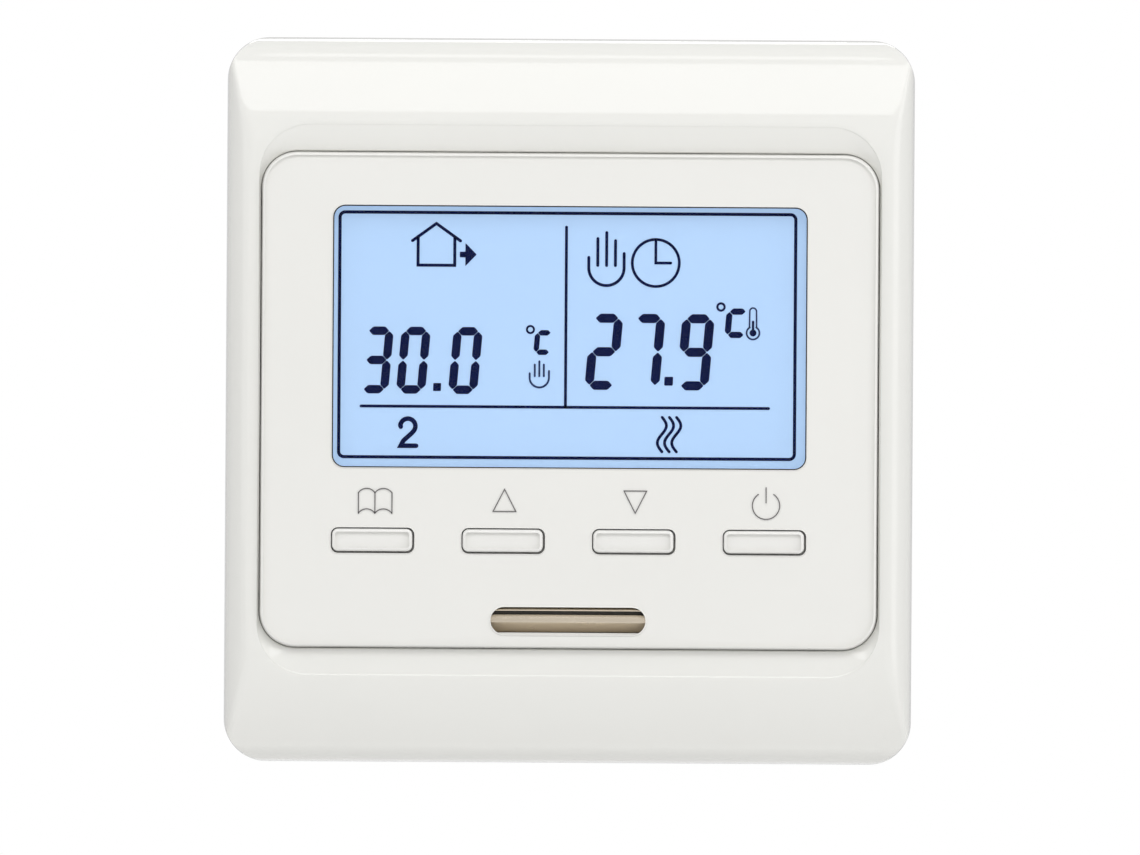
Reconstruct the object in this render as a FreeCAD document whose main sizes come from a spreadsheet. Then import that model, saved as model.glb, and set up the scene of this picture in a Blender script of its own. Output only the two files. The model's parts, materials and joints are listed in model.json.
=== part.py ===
import FreeCAD, Part
import math
import os
import re
import sys

import Sketcher
from FreeCAD import Vector

# A wall-mounted programmable timer with a room thermostat for heating.
# Frame: +Z up, +X to the right seen from the room, and the front faces -Y. The origin is the centre of
# the wall plane. "Out" is a distance in front of the wall plane, so it is -Y; behind the wall it is
# negative.

doc = FreeCAD.newDocument("heating_timer")
sheet = doc.addObject("Spreadsheet::Sheet", "sizes")

sizes = {
    # outer frame
    "frame_width": 86.0,
    "frame_height": 90.6,
    "frame_corner": 5.3,
    "frame_front": 14.6,
    "frame_draft": 0.3,
    "side_wall_front": 10.2,
    "rail_ridge": 2.5,
    "rail_curve": 5.0,
    "band_wall_front": 8.6,
    "band_shoulder": 2.4,
    "band_shoulder_front": 11.4,
    "shoulder_curve": 3.2,
    "band_curve": 30.0,
    "frame_skin": 2.0,
    "lip_reach": 1.5,
    "lip_depth": 1.9,
    "rim_slope_depth": 0.5,
    "rim_slope_angle": 60.0,
    # front panel
    "panel_width": 76.6,
    "panel_height": 61.4,
    "panel_corner": 4.3,
    "panel_front": 15.0,
    "panel_skin": 1.8,
    "panel_edge": 0.7,
    "panel_gap": 0.25,
    "window_width": 59.1,
    "window_height": 32.7,
    "window_corner": 1.25,
    "window_up": 7.9,
    "lens_margin": 1.3,
    "lens_rebate": 0.6,
    "lens_thickness": 1.0,
    "trim_slot_length": 19.3,
    "trim_slot_height": 3.4,
    "trim_slot_down": 27.4,
    "trim_bar_length": 22.0,
    "trim_bar_height": 3.0,
    "trim_bar_curve": 1.7,
    "trim_bar_front": 13.1,
    "trim_bar_body": 0.6,
    "trim_foot": 2.0,
    "boss_radius": 2.2,
    "boss_inset": 3.5,
    "boss_hole_end": 3.0,
    # keys and their switches
    "key_width": 10.0,
    "key_height": 2.8,
    "key_corner": 0.7,
    "key_gap": 0.2,
    "key_front": 15.2,
    "key_edge": 0.5,
    "key_down": 17.5,
    "key_pitch": 16.25,
    "key_flange": 0.8,
    "key_flange_depth": 0.8,
    "key_travel": 0.4,
    "switch_side": 6.2,
    "switch_base_depth": 1.8,
    "switch_cover_depth": 0.3,
    "switch_floor": 0.4,
    "switch_pocket": 2.5,
    "plunger_radius": 1.6,
    "plunger_top": 9.9,
    "dome_radius": 2.1,
    "dome_rise": 0.3,
    "dome_flat": 0.4,
    "dome_thickness": 0.1,
    # display
    "glass_width": 62.0,
    "glass_height": 37.5,
    "glass_up": 7.15,
    "glass_thickness": 0.7,
    "glass_front": 12.6,
    "glass_ledge": 2.9,
    "guide_depth": 2.4,
    "holder_border": 1.6,
    "zebra_width": 56.0,
    "zebra_height": 2.0,
    "led_width": 3.0,
    "led_height": 1.4,
    "led_depth": 1.2,
    "led_pitch": 14.0,
    # control board
    "control_board_width": 70.0,
    "control_board_height": 54.0,
    "control_board_corner": 5.0,
    "control_board_front": 7.0,
    "board_thickness": 1.6,
    "chip_side": 7.0,
    "chip_depth": 1.2,
    "chip_stand": 0.1,
    "chip_leg_pitch": 0.8,
    "chip_leg_width": 0.35,
    "chip_leg_depth": 0.3,
    "chip_leg_reach": 1.0,
    "small_part_length": 1.8,
    "small_part_width": 1.0,
    "small_part_depth": 0.6,
    "small_part_rise": 1.5,
    "small_part_reach": 4.5,
    "side_parts_across": 26.4,
    "cell_radius": 5.0,
    "cell_depth": 2.5,
    "lower_parts_down": 23.6,
    "sensor_radius": 1.2,
    "sensor_lead": 0.25,
    "sensor_lead_spread": 0.6,
    "sensor_across": 29.5,
    "sensor_stand": 3.2,
    # back cover of the front module
    "back_cover_front": 5.0,
    "back_cover_thickness": 1.4,
    "leg_width": 6.0,
    "leg_thickness": 1.8,
    "leg_across": 18.0,
    "leg_up": 28.3,
    "leg_reach": 2.0,
    "leg_clearance": 0.35,
    "rest_radius": 1.5,
    "rest_inset": 6.0,
    "module_screw_head": 1.7,
    "module_screw_reach": 7.0,
    "module_screw_play": 0.12,
    # wall bracket
    "bracket_side": 71.0,
    "bracket_corner": 4.0,
    "bracket_thickness": 1.0,
    "fixing_spacing": 60.0,
    "fixing_hole": 1.9,
    "slot_length": 10.0,
    # mounting screws
    "screw_radius": 1.75,
    "screw_neck": 1.55,
    "screw_head": 3.0,
    "screw_length": 21.0,
    "screw_head_land": 0.25,
    "screw_recess": 1.1,
    "screw_tip": 0.4,
    "screw_point": 2.6,
    "screw_seat_gap": 0.02,
    # rear housing
    "housing_width": 50.0,
    "housing_height": 44.0,
    "housing_cut": 8.0,
    "housing_rear": 28.0,
    "housing_wall": 2.0,
    "housing_floor": 1.5,
    "housing_clearance": 0.25,
    "board_ledge": 0.8,
    "flange_margin": 1.5,
    "flange_cut": 3.0,
    "flange_thickness": 1.2,
    "cover_thickness": 1.2,
    "housing_screw_across": 22.4,
    "housing_screw_up": 19.9,
    "housing_screw_radius": 1.0,
    "housing_screw_head": 1.8,
    "housing_screw_reach": 3.4,
    "housing_screw_play": 0.02,
    "small_head_depth": 0.9,
    "small_recess": 0.5,
    "small_cross": 0.55,
    "cross_width": 0.42,
    "screw_cross": 0.52,
    "cover_gap": 0.05,
    "post_radius": 1.4,
    "post_inset_across": 7.0,
    "post_inset_up": 6.0,
    # power board and what stands on it
    "power_board_front": -8.0,
    "small_clearance": 0.2,
    "relay_length": 28.0,
    "relay_width": 12.5,
    "relay_depth": 15.6,
    "relay_across": -2.0,
    "relay_up": -3.4,
    "relay_corner": 0.6,
    "relay_edge": 0.5,
    "film_length": 18.0,
    "film_width": 6.0,
    "film_depth": 12.0,
    "film_across": -7.0,
    "film_up": 8.0,
    "film_corner": 0.8,
    "film_edge": 0.6,
    "can_radius": 5.0,
    "can_depth": 14.0,
    "can_across": 9.5,
    "can_up": 9.2,
    "can_edge": 0.4,
    "can_groove_up": 2.0,
    "disc_radius": 4.5,
    "disc_thickness": 3.6,
    "disc_across": -10.0,
    "disc_up": 14.6,
    "disc_stand": 1.6,
    "disc_lead": 0.4,
    "disc_lead_spread": 2.5,
    "fuse_radius": 2.9,
    "fuse_depth": 8.0,
    "fuse_across": 17.6,
    "fuse_up": -0.4,
    "fuse_edge": 0.3,
    "fuse_step": 0.9,
    "fuse_stand": 0.6,
    "diode_length": 2.6,
    "diode_width": 1.6,
    "diode_pitch": 4.5,
    "diode_down": 2.0,
    "resistor_length": 1.6,
    "resistor_width": 0.9,
    "resistor_pitch": 4.5,
    "resistor_up": 13.0,
    "front_parts_depth": 1.1,
    "tall_part_width": 2.2,
    "tall_part_height": 4.2,
    "tall_part_pitch": 3.6,
    "tall_part_up": 15.4,
    "header_up": 6.0,
    "header_pitch": 2.54,
    "header_thickness": 2.5,
    "header_pin": 0.6,
    "header_drill": 0.45,
    "header_hole": 1.0,
    "socket_front": 2.1,
    "strip_back": 3.0,
    "pin_reach": 3.4,
    # terminals
    "terminal_pitch": 5.0,
    "block_margin": 0.5,
    "block_height": 10.8,
    "block_wall": 1.2,
    "cage_width": 3.8,
    "cage_height": 5.0,
    "cage_wall": 0.55,
    "cage_thread_depth": 2.0,
    "cage_floor_depth": 0.8,
    "cage_top": 5.6,
    "cage_window": 4.4,
    "cage_clearance": 0.2,
    "clamp_travel": 2.0,
    "terminal_screw_radius": 1.25,
    "terminal_head_radius": 1.8,
    "terminal_head_top": 1.0,
    "terminal_head_depth": 2.0,
    "terminal_screw_slot": 0.6,
    "thread_clearance": 0.05,
    "head_clearance": 0.08,
    "contact_width": 2.0,
    "contact_thickness": 0.8,
    "contact_top": 9.0,
    "entry_side": 3.0,
    "entry_rise": 0.4,
    "cell_end_gap": 0.4,
    "cell_top_gap": 0.3,
    "pin_gap": 0.4,
    "bar_end_gap": 0.3,
    "pin_end": 0.8,
    "slot_depth": 0.9,
    # drawing aids: how far pieces of one body run into each other, and how far a cut runs past a face
    "join": 0.1,
    "past": 1.0,
}
keys = 4
terminals = 6
header_ways = 8
chip_legs = 7
diodes = 6
resistors = 5

for row, (name, value) in enumerate(sizes.items(), start=1):
    sheet.set(f"A{row}", name)
    sheet.set(f"B{row}", str(value))
    sheet.setAlias(f"B{row}", name)
doc.recompute()


def bound(text):
    """The expression with each size's name pointed at its cell."""
    return re.sub(r"[a-z]\w*", lambda word: "sizes." * (word[0] in sizes) + word[0], str(text))


def number(text):
    """What an expression of sizes comes to, in millimetres or degrees."""
    return float(sheet.evalExpression(bound(text)))


# ---- drawing: every coordinate is an expression of sizes ----


def sides_of(across, up, width, height):
    """The left, right, low and high sides of a box round (across, up)."""
    half_width, half_height = f"({width}) / 2", f"({height}) / 2"
    return (
        f"{across} - {half_width}",
        f"{across} + {half_width}",
        f"{up} - {half_height}",
        f"{up} + {half_height}",
    )


def rectangle(across, up, width, height):
    """A closed outline round (across, up), anticlockwise."""
    left, right, low, high = sides_of(across, up, width, height)
    return [(left, low), (right, low), (right, high), (left, high)]


def cut_rectangle(across, up, width, height, cut, radius=None):
    """A rectangle with its corners cut by `cut`, or rounded when a radius is given as well."""
    left, right, low, high = sides_of(across, up, width, height)
    return [
        (f"{left} + ({cut})", low),
        (f"{right} - ({cut})", low, radius),
        (right, f"{low} + ({cut})"),
        (right, f"{high} - ({cut})", radius),
        (f"{right} - ({cut})", high),
        (f"{left} + ({cut})", high, radius),
        (left, f"{high} - ({cut})"),
        (left, f"{low} + ({cut})", radius),
    ]


def rounded(across, up, width, height, radius):
    return cut_rectangle(across, up, width, height, radius, radius)


def stadium(across, up, width, height):
    """A slot with round ends, longer across than up."""
    radius, straight = f"({height}) / 2", f"(({width}) - ({height})) / 2"
    left, right = f"{across} - {straight}", f"{across} + {straight}"
    return [
        (left, f"{up} - {radius}"),
        (right, f"{up} - {radius}", radius),
        (f"{right} + {radius}", up, radius),
        (right, f"{up} + {radius}"),
        (left, f"{up} + {radius}", radius),
        (f"{left} - {radius}", up, radius),
    ]


def upright(outline):
    """The same outline with across and up exchanged, still anticlockwise."""
    turned = [(point[1], point[0]) for point in outline]
    arcs = [point[2] if len(point) > 2 else None for point in outline]
    count = len(outline)
    return [(*turned[count - 1 - i], arcs[(count - 2 - i) % count]) for i in range(count)]


def add_outline(sketch, points):
    """Draws a closed outline. A point with a third value starts an arc of that radius, bulging outwards."""
    places = [Vector(number(point[0]), number(point[1]), 0) for point in points]
    edges = []
    for i, point in enumerate(points):
        start, end = places[i], places[(i + 1) % len(places)]
        if len(point) > 2 and point[2] is not None:
            radius, chord = number(point[2]), end - start
            reach = math.sqrt(max(radius**2 - (chord.Length / 2) ** 2, 0))
            centre = (start + end) / 2 + Vector(-chord.y, chord.x, 0).normalize() * reach
            angles = [math.atan2(p.y - centre.y, p.x - centre.x) for p in (start, end)]
            circle = Part.Circle(centre, Vector(0, 0, 1), radius)
            edges.append(sketch.addGeometry(Part.ArcOfCircle(circle, *angles), False))
            fix(sketch, Sketcher.Constraint("Radius", edges[-1], radius), point[2])
        else:
            edges.append(sketch.addGeometry(Part.LineSegment(start, end), False))
    for i, point in enumerate(points):
        sketch.addConstraint(Sketcher.Constraint("Coincident", edges[i - 1], 2, edges[i], 1))
        fix(sketch, Sketcher.Constraint("DistanceX", -1, 1, edges[i], 1, places[i].x), point[0])
        fix(sketch, Sketcher.Constraint("DistanceY", -1, 1, edges[i], 1, places[i].y), point[1])


def add_circle(sketch, across, up, radius):
    centre = Vector(number(across), number(up), 0)
    circle = sketch.addGeometry(Part.Circle(centre, Vector(0, 0, 1), number(radius)), False)
    fix(sketch, Sketcher.Constraint("Radius", circle, number(radius)), radius)
    fix(sketch, Sketcher.Constraint("DistanceX", -1, 1, circle, 3, centre.x), across)
    fix(sketch, Sketcher.Constraint("DistanceY", -1, 1, circle, 3, centre.y), up)


def fix(sketch, constraint, text):
    """Adds a constraint and binds its value to the sheet."""
    index = sketch.addConstraint(constraint)
    sketch.setExpression(f"Constraints[{index}]", bound(text))


def new_body(name):
    body = doc.addObject("PartDesign::Body", name)
    body.Label = name
    return body


def draw(body, shapes, plane="XZ_Plane", offset="0"):
    """A sketch on one of the body's origin planes, moved along the plane's normal by the offset."""
    sketch = body.newObject("Sketcher::SketchObject", f"{body.Name}_sketch")
    support = next(part for part in body.Origin.OriginFeatures if part.Role == plane)
    sketch.AttachmentSupport = [(support, "")]
    sketch.MapMode = "FlatFace"
    sketch.setExpression("AttachmentOffset.Base.z", bound(offset))
    for shape in shapes:
        if isinstance(shape, tuple):
            add_circle(sketch, *shape)
        else:
            add_outline(sketch, shape)
    return sketch


def pad(body, shapes, back, front, taper=None):
    """Adds material between two distances out. A tuple in shapes is a circle: across, up and radius."""
    feature = body.newObject("PartDesign::Pad", f"{body.Name}_pad")
    feature.Profile = draw(body, shapes, offset=back)
    feature.setExpression("Length", bound(f"{front} - ({back})"))
    if taper:
        feature.setExpression("TaperAngle", bound(taper))
    return feature


def cut(body, shapes, back, front):
    """Takes material away between two distances out."""
    doc.recompute()
    before = body.Shape.Volume
    feature = body.newObject("PartDesign::Pocket", f"{body.Name}_cut")
    feature.Profile = draw(body, shapes, offset=front)
    feature.setExpression("Length", bound(f"{front} - ({back})"))
    doc.recompute()
    if not body.Shape.Volume < before:
        sys.exit(f"{feature.Label} takes nothing away")
    return feature


def turned(name, profile, across="0", up="0"):
    """A body of revolution: the profile's points are (radius, out), about an axis that points out."""
    body = new_body(name)
    points = [(radius, f"-({out})") for radius, out in profile]
    feature = body.newObject("PartDesign::Revolution", f"{name}_turn")
    feature.Profile = draw(body, [points], plane="XY_Plane")
    feature.ReferenceAxis = (feature.Profile[0], ["V_Axis"])
    feature.Angle = 360
    return place(body, across, up)


def place(body, across, up, out="0"):
    body.setExpression("Placement.Base.x", bound(across))
    body.setExpression("Placement.Base.y", bound(f"-({out})"))
    body.setExpression("Placement.Base.z", bound(up))
    return body


def soften(body, radius, chosen):
    """Rounds the edges that `chosen` picks."""
    doc.recompute()
    base = body.Tip
    names = [f"Edge{i}" for i, edge in enumerate(base.Shape.Edges, start=1) if chosen(edge)]
    feature = body.newObject("PartDesign::Fillet", f"{body.Name}_fillet")
    feature.Base = (base, names)
    feature.setExpression("Radius", bound(radius))


def lies_at(out, half_width, half_height):
    """Picks edges in the plane at this distance out, and outside the given half sizes."""
    plane, wide, high = -number(out), number(half_width), number(half_height)

    def chosen(edge):
        box = edge.BoundBox
        flat = abs(box.YMin - plane) < 1e-6 and abs(box.YMax - plane) < 1e-6
        across, up = max(abs(box.XMin), abs(box.XMax)), max(abs(box.ZMin), abs(box.ZMax))
        return flat and (across > wide or up > high)

    return chosen


def group(name, members):
    """Identical loose pieces in one sub-part."""
    compound = doc.addObject("Part::Compound", name)
    compound.Label = name
    compound.Links = members
    return compound


def spread(count, pitch):
    """Centres of a centred row."""
    return [f"({pitch} * {i - (count - 1) / 2})" for i in range(count)]


key_places = spread(keys, "key_pitch")
terminal_places = spread(terminals, "terminal_pitch")
header_places = spread(header_ways, "header_pitch")
key_up = "-key_down"

# ---- distances that several pieces share ----

panel_back = "back_cover_front"
panel_inside = "(panel_front - panel_skin)"
lens_front = "(panel_front - panel_skin + lens_rebate)"
board_front = "control_board_front"
board_back = "(control_board_front - board_thickness)"
cover_back = "(back_cover_front - back_cover_thickness)"
opening_width = "(panel_width + 2 * panel_gap)"
opening_height = "(panel_height + 2 * panel_gap)"
opening_corner = "(panel_corner + panel_gap)"
power_back = "(power_board_front - board_thickness)"
flange_front = "(bracket_thickness + flange_thickness)"
terminal_rear = "(-housing_rear)"
block_up = "(-housing_height / 2 + block_height / 2)"
cell_up = "(-housing_height / 2 + block_wall + cage_height / 2 + cage_clearance)"
glass_middle = "(glass_front - glass_thickness)"
glass_back = "(glass_front - 2 * glass_thickness)"
guide_front = "(glass_front - 2 * glass_thickness - small_clearance)"
guide_back = "(glass_front - 2 * glass_thickness - small_clearance - guide_depth)"
guide_height = "(glass_height - glass_ledge - 3 * small_clearance)"
guide_up = "(glass_up + glass_ledge / 2)"
zebra_up = "(glass_up - glass_height / 2 + zebra_height / 2 + 2 * small_clearance)"
boss_across = "(panel_width / 2 - boss_inset)"
boss_up = "(panel_height / 2 - boss_inset)"


def four(across, up):
    return [(f"{a}{across}", f"{b}{up}") for a in ("-", "") for b in ("-", "")]


def header_outline(clearance="0"):
    """The plug between the two boards, or the hole that it passes through."""
    width = f"header_pitch * {header_ways} + 2 * ({clearance})"
    return rectangle("0", "header_up", width, f"header_thickness + 2 * ({clearance})")


# ---- outer frame ----


def outer_frame():
    half_width, half_height = "frame_width / 2", "frame_height / 2"
    blank = new_body("frame_blank")
    whole = rounded("0", "0", "frame_width", "frame_height", "frame_corner")
    pad(blank, [whole], "0", "frame_front + past")

    # seen from above: (across, -out), anticlockwise
    sides = new_body("frame_sides")
    section = [
        (f"-({half_width})", "0"),
        (f"-({half_width} - frame_draft)", "-side_wall_front", "rail_curve"),
        (f"-({half_width} - rail_ridge)", "-frame_front"),
        (f"{half_width} - rail_ridge", "-frame_front", "rail_curve"),
        (f"{half_width} - frame_draft", "-side_wall_front"),
        (half_width, "0"),
    ]
    feature = sides.newObject("PartDesign::Pad", "frame_sides_pad")
    feature.Profile = draw(sides, [section], plane="XY_Plane", offset=f"-({half_height} + past)")
    feature.setExpression("Length", bound("frame_height + 2 * past"))

    # seen from the right: (-out, up), anticlockwise
    bands = new_body("frame_bands")
    section = [
        ("0", half_height),
        ("-band_wall_front", f"{half_height} - frame_draft", "shoulder_curve"),
        ("-band_shoulder_front", f"{half_height} - band_shoulder", "band_curve"),
        ("-frame_front", f"{opening_height} / 2"),
        ("-frame_front", f"-{opening_height} / 2", "band_curve"),
        ("-band_shoulder_front", f"-({half_height} - band_shoulder)", "shoulder_curve"),
        ("-band_wall_front", f"-({half_height} - frame_draft)"),
        ("0", f"-({half_height})"),
    ]
    feature = bands.newObject("PartDesign::Pad", "frame_bands_pad")
    feature.Profile = draw(bands, [section], plane="YZ_Plane", offset=f"-({half_width} + past)")
    feature.setExpression("Length", bound("frame_width + 2 * past"))

    skin = doc.addObject("Part::MultiCommon", "frame_skin_solid")
    skin.Shapes = [blank, sides, bands]

    # what is taken away: the opening, its sloped rim, the room for the bracket and the hollow bands
    hollow = new_body("frame_hollow")
    lip_front = "(bracket_thickness + small_clearance + lip_depth)"
    opening = rounded("0", "0", opening_width, opening_height, opening_corner)
    pad(hollow, [opening], lip_front, "frame_front + past")
    pad(hollow, [opening], "frame_front - rim_slope_depth", "frame_front", taper="rim_slope_angle")
    inner_lip = rounded(
        "0",
        "0",
        f"{opening_width} - 2 * lip_reach",
        f"{opening_height} - 2 * lip_reach",
        f"{opening_corner} - lip_reach",
    )
    pad(hollow, [inner_lip], "-past", f"{lip_front} + join")
    bracket_side = "bracket_side + 4 * small_clearance"
    bracket_room = rectangle("0", "0", bracket_side, bracket_side)
    pad(hollow, [bracket_room], "-past", "bracket_thickness + small_clearance")
    inner = f"({opening_height} / 2 + frame_skin)"
    outer = "(frame_height / 2 - frame_draft - frame_skin)"
    steps = [(outer, "band_wall_front"), (f"(({inner} + {outer}) / 2)", "band_shoulder_front")]
    for side in ("", "-"):
        for reach, front in steps:
            middle, height = f"{side}({inner} + {reach}) / 2", f"{reach} - {inner}"
            channel = rectangle("0", middle, "frame_width - 4 * frame_skin", height)
            pad(hollow, [channel], "-past", f"{front} - frame_skin / 2")

    frame = doc.addObject("Part::Cut", "outer_frame")
    frame.Label = "outer_frame"
    frame.Base, frame.Tool = skin, hollow
    return frame


# ---- front module: panel, lens, trim bar ----


def front_panel():
    body = new_body("front_panel")
    pad(body, [rounded("0", "0", "panel_width", "panel_height", "panel_corner")], panel_back, "panel_front")
    near = "2 * panel_corner"
    outer_edges = lies_at("panel_front", f"panel_width / 2 - {near}", f"panel_height / 2 - {near}")
    soften(body, "panel_edge", outer_edges)
    inside = rounded(
        "0",
        "0",
        "panel_width - 2 * panel_skin",
        "panel_height - 2 * panel_skin",
        "panel_corner - panel_skin",
    )
    cut(body, [inside], panel_back, panel_inside)
    window = rounded("0", "window_up", "window_width", "window_height", "window_corner")
    openings = [
        rounded(
            across,
            key_up,
            "key_width + 2 * key_gap",
            "key_height + 2 * key_gap",
            "key_corner + key_gap",
        )
        for across in key_places
    ]
    slot = stadium("0", "-trim_slot_down", "trim_slot_length", "trim_slot_height")
    cut(body, [window, slot, *openings], panel_inside, "panel_front + past")
    rebate = rectangle(
        "0",
        "window_up",
        "window_width + 2 * lens_margin + small_clearance",
        "window_height + 2 * lens_margin + small_clearance",
    )
    cut(body, [rebate], panel_inside, lens_front)
    bosses = [(across, up, "boss_radius") for across, up in four(boss_across, boss_up)]
    pad(body, bosses, panel_back, f"{panel_inside} + join")
    holes = [(across, up, "housing_screw_radius - join") for across, up in four(boss_across, boss_up)]
    cut(body, holes, panel_back, "panel_front - boss_hole_end")
    return body


def window_lens():
    body = new_body("window_lens")
    outline = rectangle(
        "0", "window_up", "window_width + 2 * lens_margin", "window_height + 2 * lens_margin"
    )
    pad(body, [outline], f"{lens_front} - lens_thickness", lens_front)
    return body


def trim_bar():
    """A bright bar with a rounded face behind the panel's slot, on two feet that stand on the board."""
    body = new_body("trim_bar")
    half = "trim_bar_height / 2"
    rise = "(trim_bar_curve - sqrt(trim_bar_curve ^ 2 - (trim_bar_height / 2) ^ 2))"
    shoulder = f"(trim_bar_front - {rise})"
    back = f"({shoulder} - trim_bar_body)"
    section = [
        (f"-{back}", f"{half} - trim_slot_down"),
        (f"-{shoulder}", f"{half} - trim_slot_down", "trim_bar_curve"),
        (f"-{shoulder}", f"-{half} - trim_slot_down"),
        (f"-{back}", f"-{half} - trim_slot_down"),
    ]
    feature = body.newObject("PartDesign::Pad", "trim_bar_pad")
    feature.Profile = draw(body, [section], plane="YZ_Plane", offset="-trim_bar_length / 2")
    feature.setExpression("Length", bound("trim_bar_length"))
    height = "trim_bar_height - small_clearance"
    feet = [
        rectangle(f"{side}(trim_bar_length - trim_foot) / 2", "-trim_slot_down", "trim_foot", height)
        for side in ("-", "")
    ]
    pad(body, feet, board_front, f"{back} + join")
    return body


# ---- keys and switches, each drawn round its own axis ----


def key_cap(name, across):
    body = new_body(name)
    pad(body, [rounded("0", "0", "key_width", "key_height", "key_corner")], "plunger_top", "key_front")
    soften(body, "key_edge", lies_at("key_front", "0", "0"))
    flange = rectangle("0", "0", "key_width + 2 * key_flange", "key_height + 2 * key_flange")
    top = f"({panel_inside} - small_clearance)"
    pad(body, [flange], f"{top} - key_flange_depth", top)
    return place(body, across, key_up)


def key_plunger(name, across):
    floor = f"({board_front} + switch_floor + dome_thickness + key_travel)"
    shoulder = f"({board_front} + switch_base_depth - 2 * dome_thickness)"
    wide = "(plunger_radius + key_travel)"
    profile = [
        ("0", floor),
        (wide, floor),
        (wide, shoulder),
        ("plunger_radius", shoulder),
        ("plunger_radius", "plunger_top"),
        ("0", "plunger_top"),
    ]
    return turned(name, profile, across, key_up)


def switch_bases():
    body = new_body("key_switch_bases")
    squares = [rectangle(across, key_up, "switch_side", "switch_side") for across in key_places]
    pad(body, squares, board_front, f"{board_front} + switch_base_depth")
    wells = [(across, key_up, "switch_pocket") for across in key_places]
    cut(body, wells, f"{board_front} + switch_floor", f"{board_front} + switch_base_depth")
    return body


def switch_covers():
    body = new_body("key_switch_covers")
    back = f"{board_front} + switch_base_depth"
    squares = [rectangle(across, key_up, "switch_side", "switch_side") for across in key_places]
    pad(body, squares, back, f"{back} + switch_cover_depth")
    holes = [(across, key_up, "plunger_radius + small_clearance / 2") for across in key_places]
    cut(body, holes, back, f"{back} + switch_cover_depth")
    return body


def switch_dome(name, across):
    """A thin snap disc, dished towards the plunger."""
    floor, flat = f"({board_front} + switch_floor)", "dome_radius * dome_flat"
    rise = f"({board_front} + switch_floor + dome_rise)"
    profile = [
        ("0", rise),
        (flat, rise),
        ("dome_radius", floor),
        ("dome_radius", f"{floor} + dome_thickness"),
        (flat, f"{rise} + dome_thickness"),
        ("0", f"{rise} + dome_thickness"),
    ]
    return turned(name, profile, across, key_up)


# ---- display ----


def lcd_glass():
    front = new_body("lcd_front_glass")
    outline = rectangle("0", "glass_up", "glass_width", "glass_height")
    pad(front, [outline], glass_middle, "glass_front")
    rear = new_body("lcd_rear_glass")
    outline = rectangle("0", guide_up, "glass_width", "glass_height - glass_ledge")
    pad(rear, [outline], glass_back, glass_middle)
    return group("lcd_glass", [front, rear])


def light_guide():
    body = new_body("lcd_light_guide")
    outline = rectangle("0", guide_up, "glass_width - 4 * small_clearance", guide_height)
    pad(body, [outline], guide_back, guide_front)
    return body


def led_spots():
    """The light sources stand in a row along the top edge of the light guide."""
    up = f"{guide_up} + {guide_height} / 2 - led_height / 2"
    return [(across, up) for across in spread(4, "led_pitch")]


def lcd_holder():
    body = new_body("lcd_holder")
    outer = rectangle(
        "0", "glass_up", "glass_width + 2 * holder_border", "glass_height + 2 * holder_border"
    )
    pad(body, [outer], board_front, "glass_front")
    bed = rectangle(
        "0", "glass_up", "glass_width + 2 * small_clearance", "glass_height + 2 * small_clearance"
    )
    cut(body, [bed], guide_front, "glass_front")
    well = rectangle(
        "0", guide_up, "glass_width - 2 * small_clearance", f"{guide_height} + 2 * small_clearance"
    )
    cut(body, [well], guide_back, guide_front)
    channel = rectangle(
        "0", zebra_up, "zebra_width + 2 * small_clearance", "zebra_height + 2 * small_clearance"
    )
    cut(body, [channel], board_front, guide_front)
    pockets = [
        rectangle(across, up, "led_width + 2 * small_clearance", "led_height + 2 * small_clearance")
        for across, up in led_spots()
    ]
    pockets.append(header_outline("small_clearance"))
    cut(body, pockets, board_front, f"({guide_back} - small_clearance)")
    return body


def zebra_strip():
    body = new_body("zebra_strip")
    pad(body, [rectangle("0", zebra_up, "zebra_width", "zebra_height")], board_front, glass_middle)
    return body


def backlight_leds():
    body = new_body("backlight_leds")
    spots = [rectangle(across, up, "led_width", "led_height") for across, up in led_spots()]
    pad(body, spots, board_front, f"{board_front} + led_depth")
    return body


# ---- control board ----


def control_board():
    body = new_body("control_board")
    outline = cut_rectangle("0", "0", "control_board_width", "control_board_height", "control_board_corner")
    pad(body, [outline], board_back, board_front)
    holes = [(across, "header_up", "header_drill") for across in header_places]
    cut(body, holes, board_back, board_front)
    return body


def control_chip():
    body = new_body("control_chip")
    across = "key_pitch"
    case = rectangle(across, "-lower_parts_down", "chip_side", "chip_side")
    pad(body, [case], f"{board_front} + chip_stand", f"{board_front} + chip_depth")
    reach = "chip_side + 2 * chip_leg_reach"
    legs = [
        rectangle(f"{across} + {leg}", "-lower_parts_down", "chip_leg_width", reach)
        for leg in spread(chip_legs, "chip_leg_pitch")
    ]
    pad(body, legs, board_front, f"{board_front} + chip_leg_depth")
    return body


def backup_cell():
    body = new_body("backup_cell")
    cell = ("-key_pitch", "-lower_parts_down", "cell_radius")
    pad(body, [cell], board_front, f"{board_front} + cell_depth")
    return body


def board_small_parts():
    """Chip resistors and capacitors between the switches and beside the big parts."""
    body = new_body("board_small_parts")
    chips = [
        rectangle(
            f"{across} {side} small_part_reach",
            "-(key_down - small_part_rise)",
            "small_part_width",
            "small_part_length",
        )
        for across in key_places
        for side in ("-", "+")
    ]
    chips += [
        rectangle(f"{side}side_parts_across", "-lower_parts_down", "small_part_length", "small_part_width")
        for side in ("-", "")
    ]
    pad(body, chips, board_front, f"{board_front} + small_part_depth")
    return body


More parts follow.
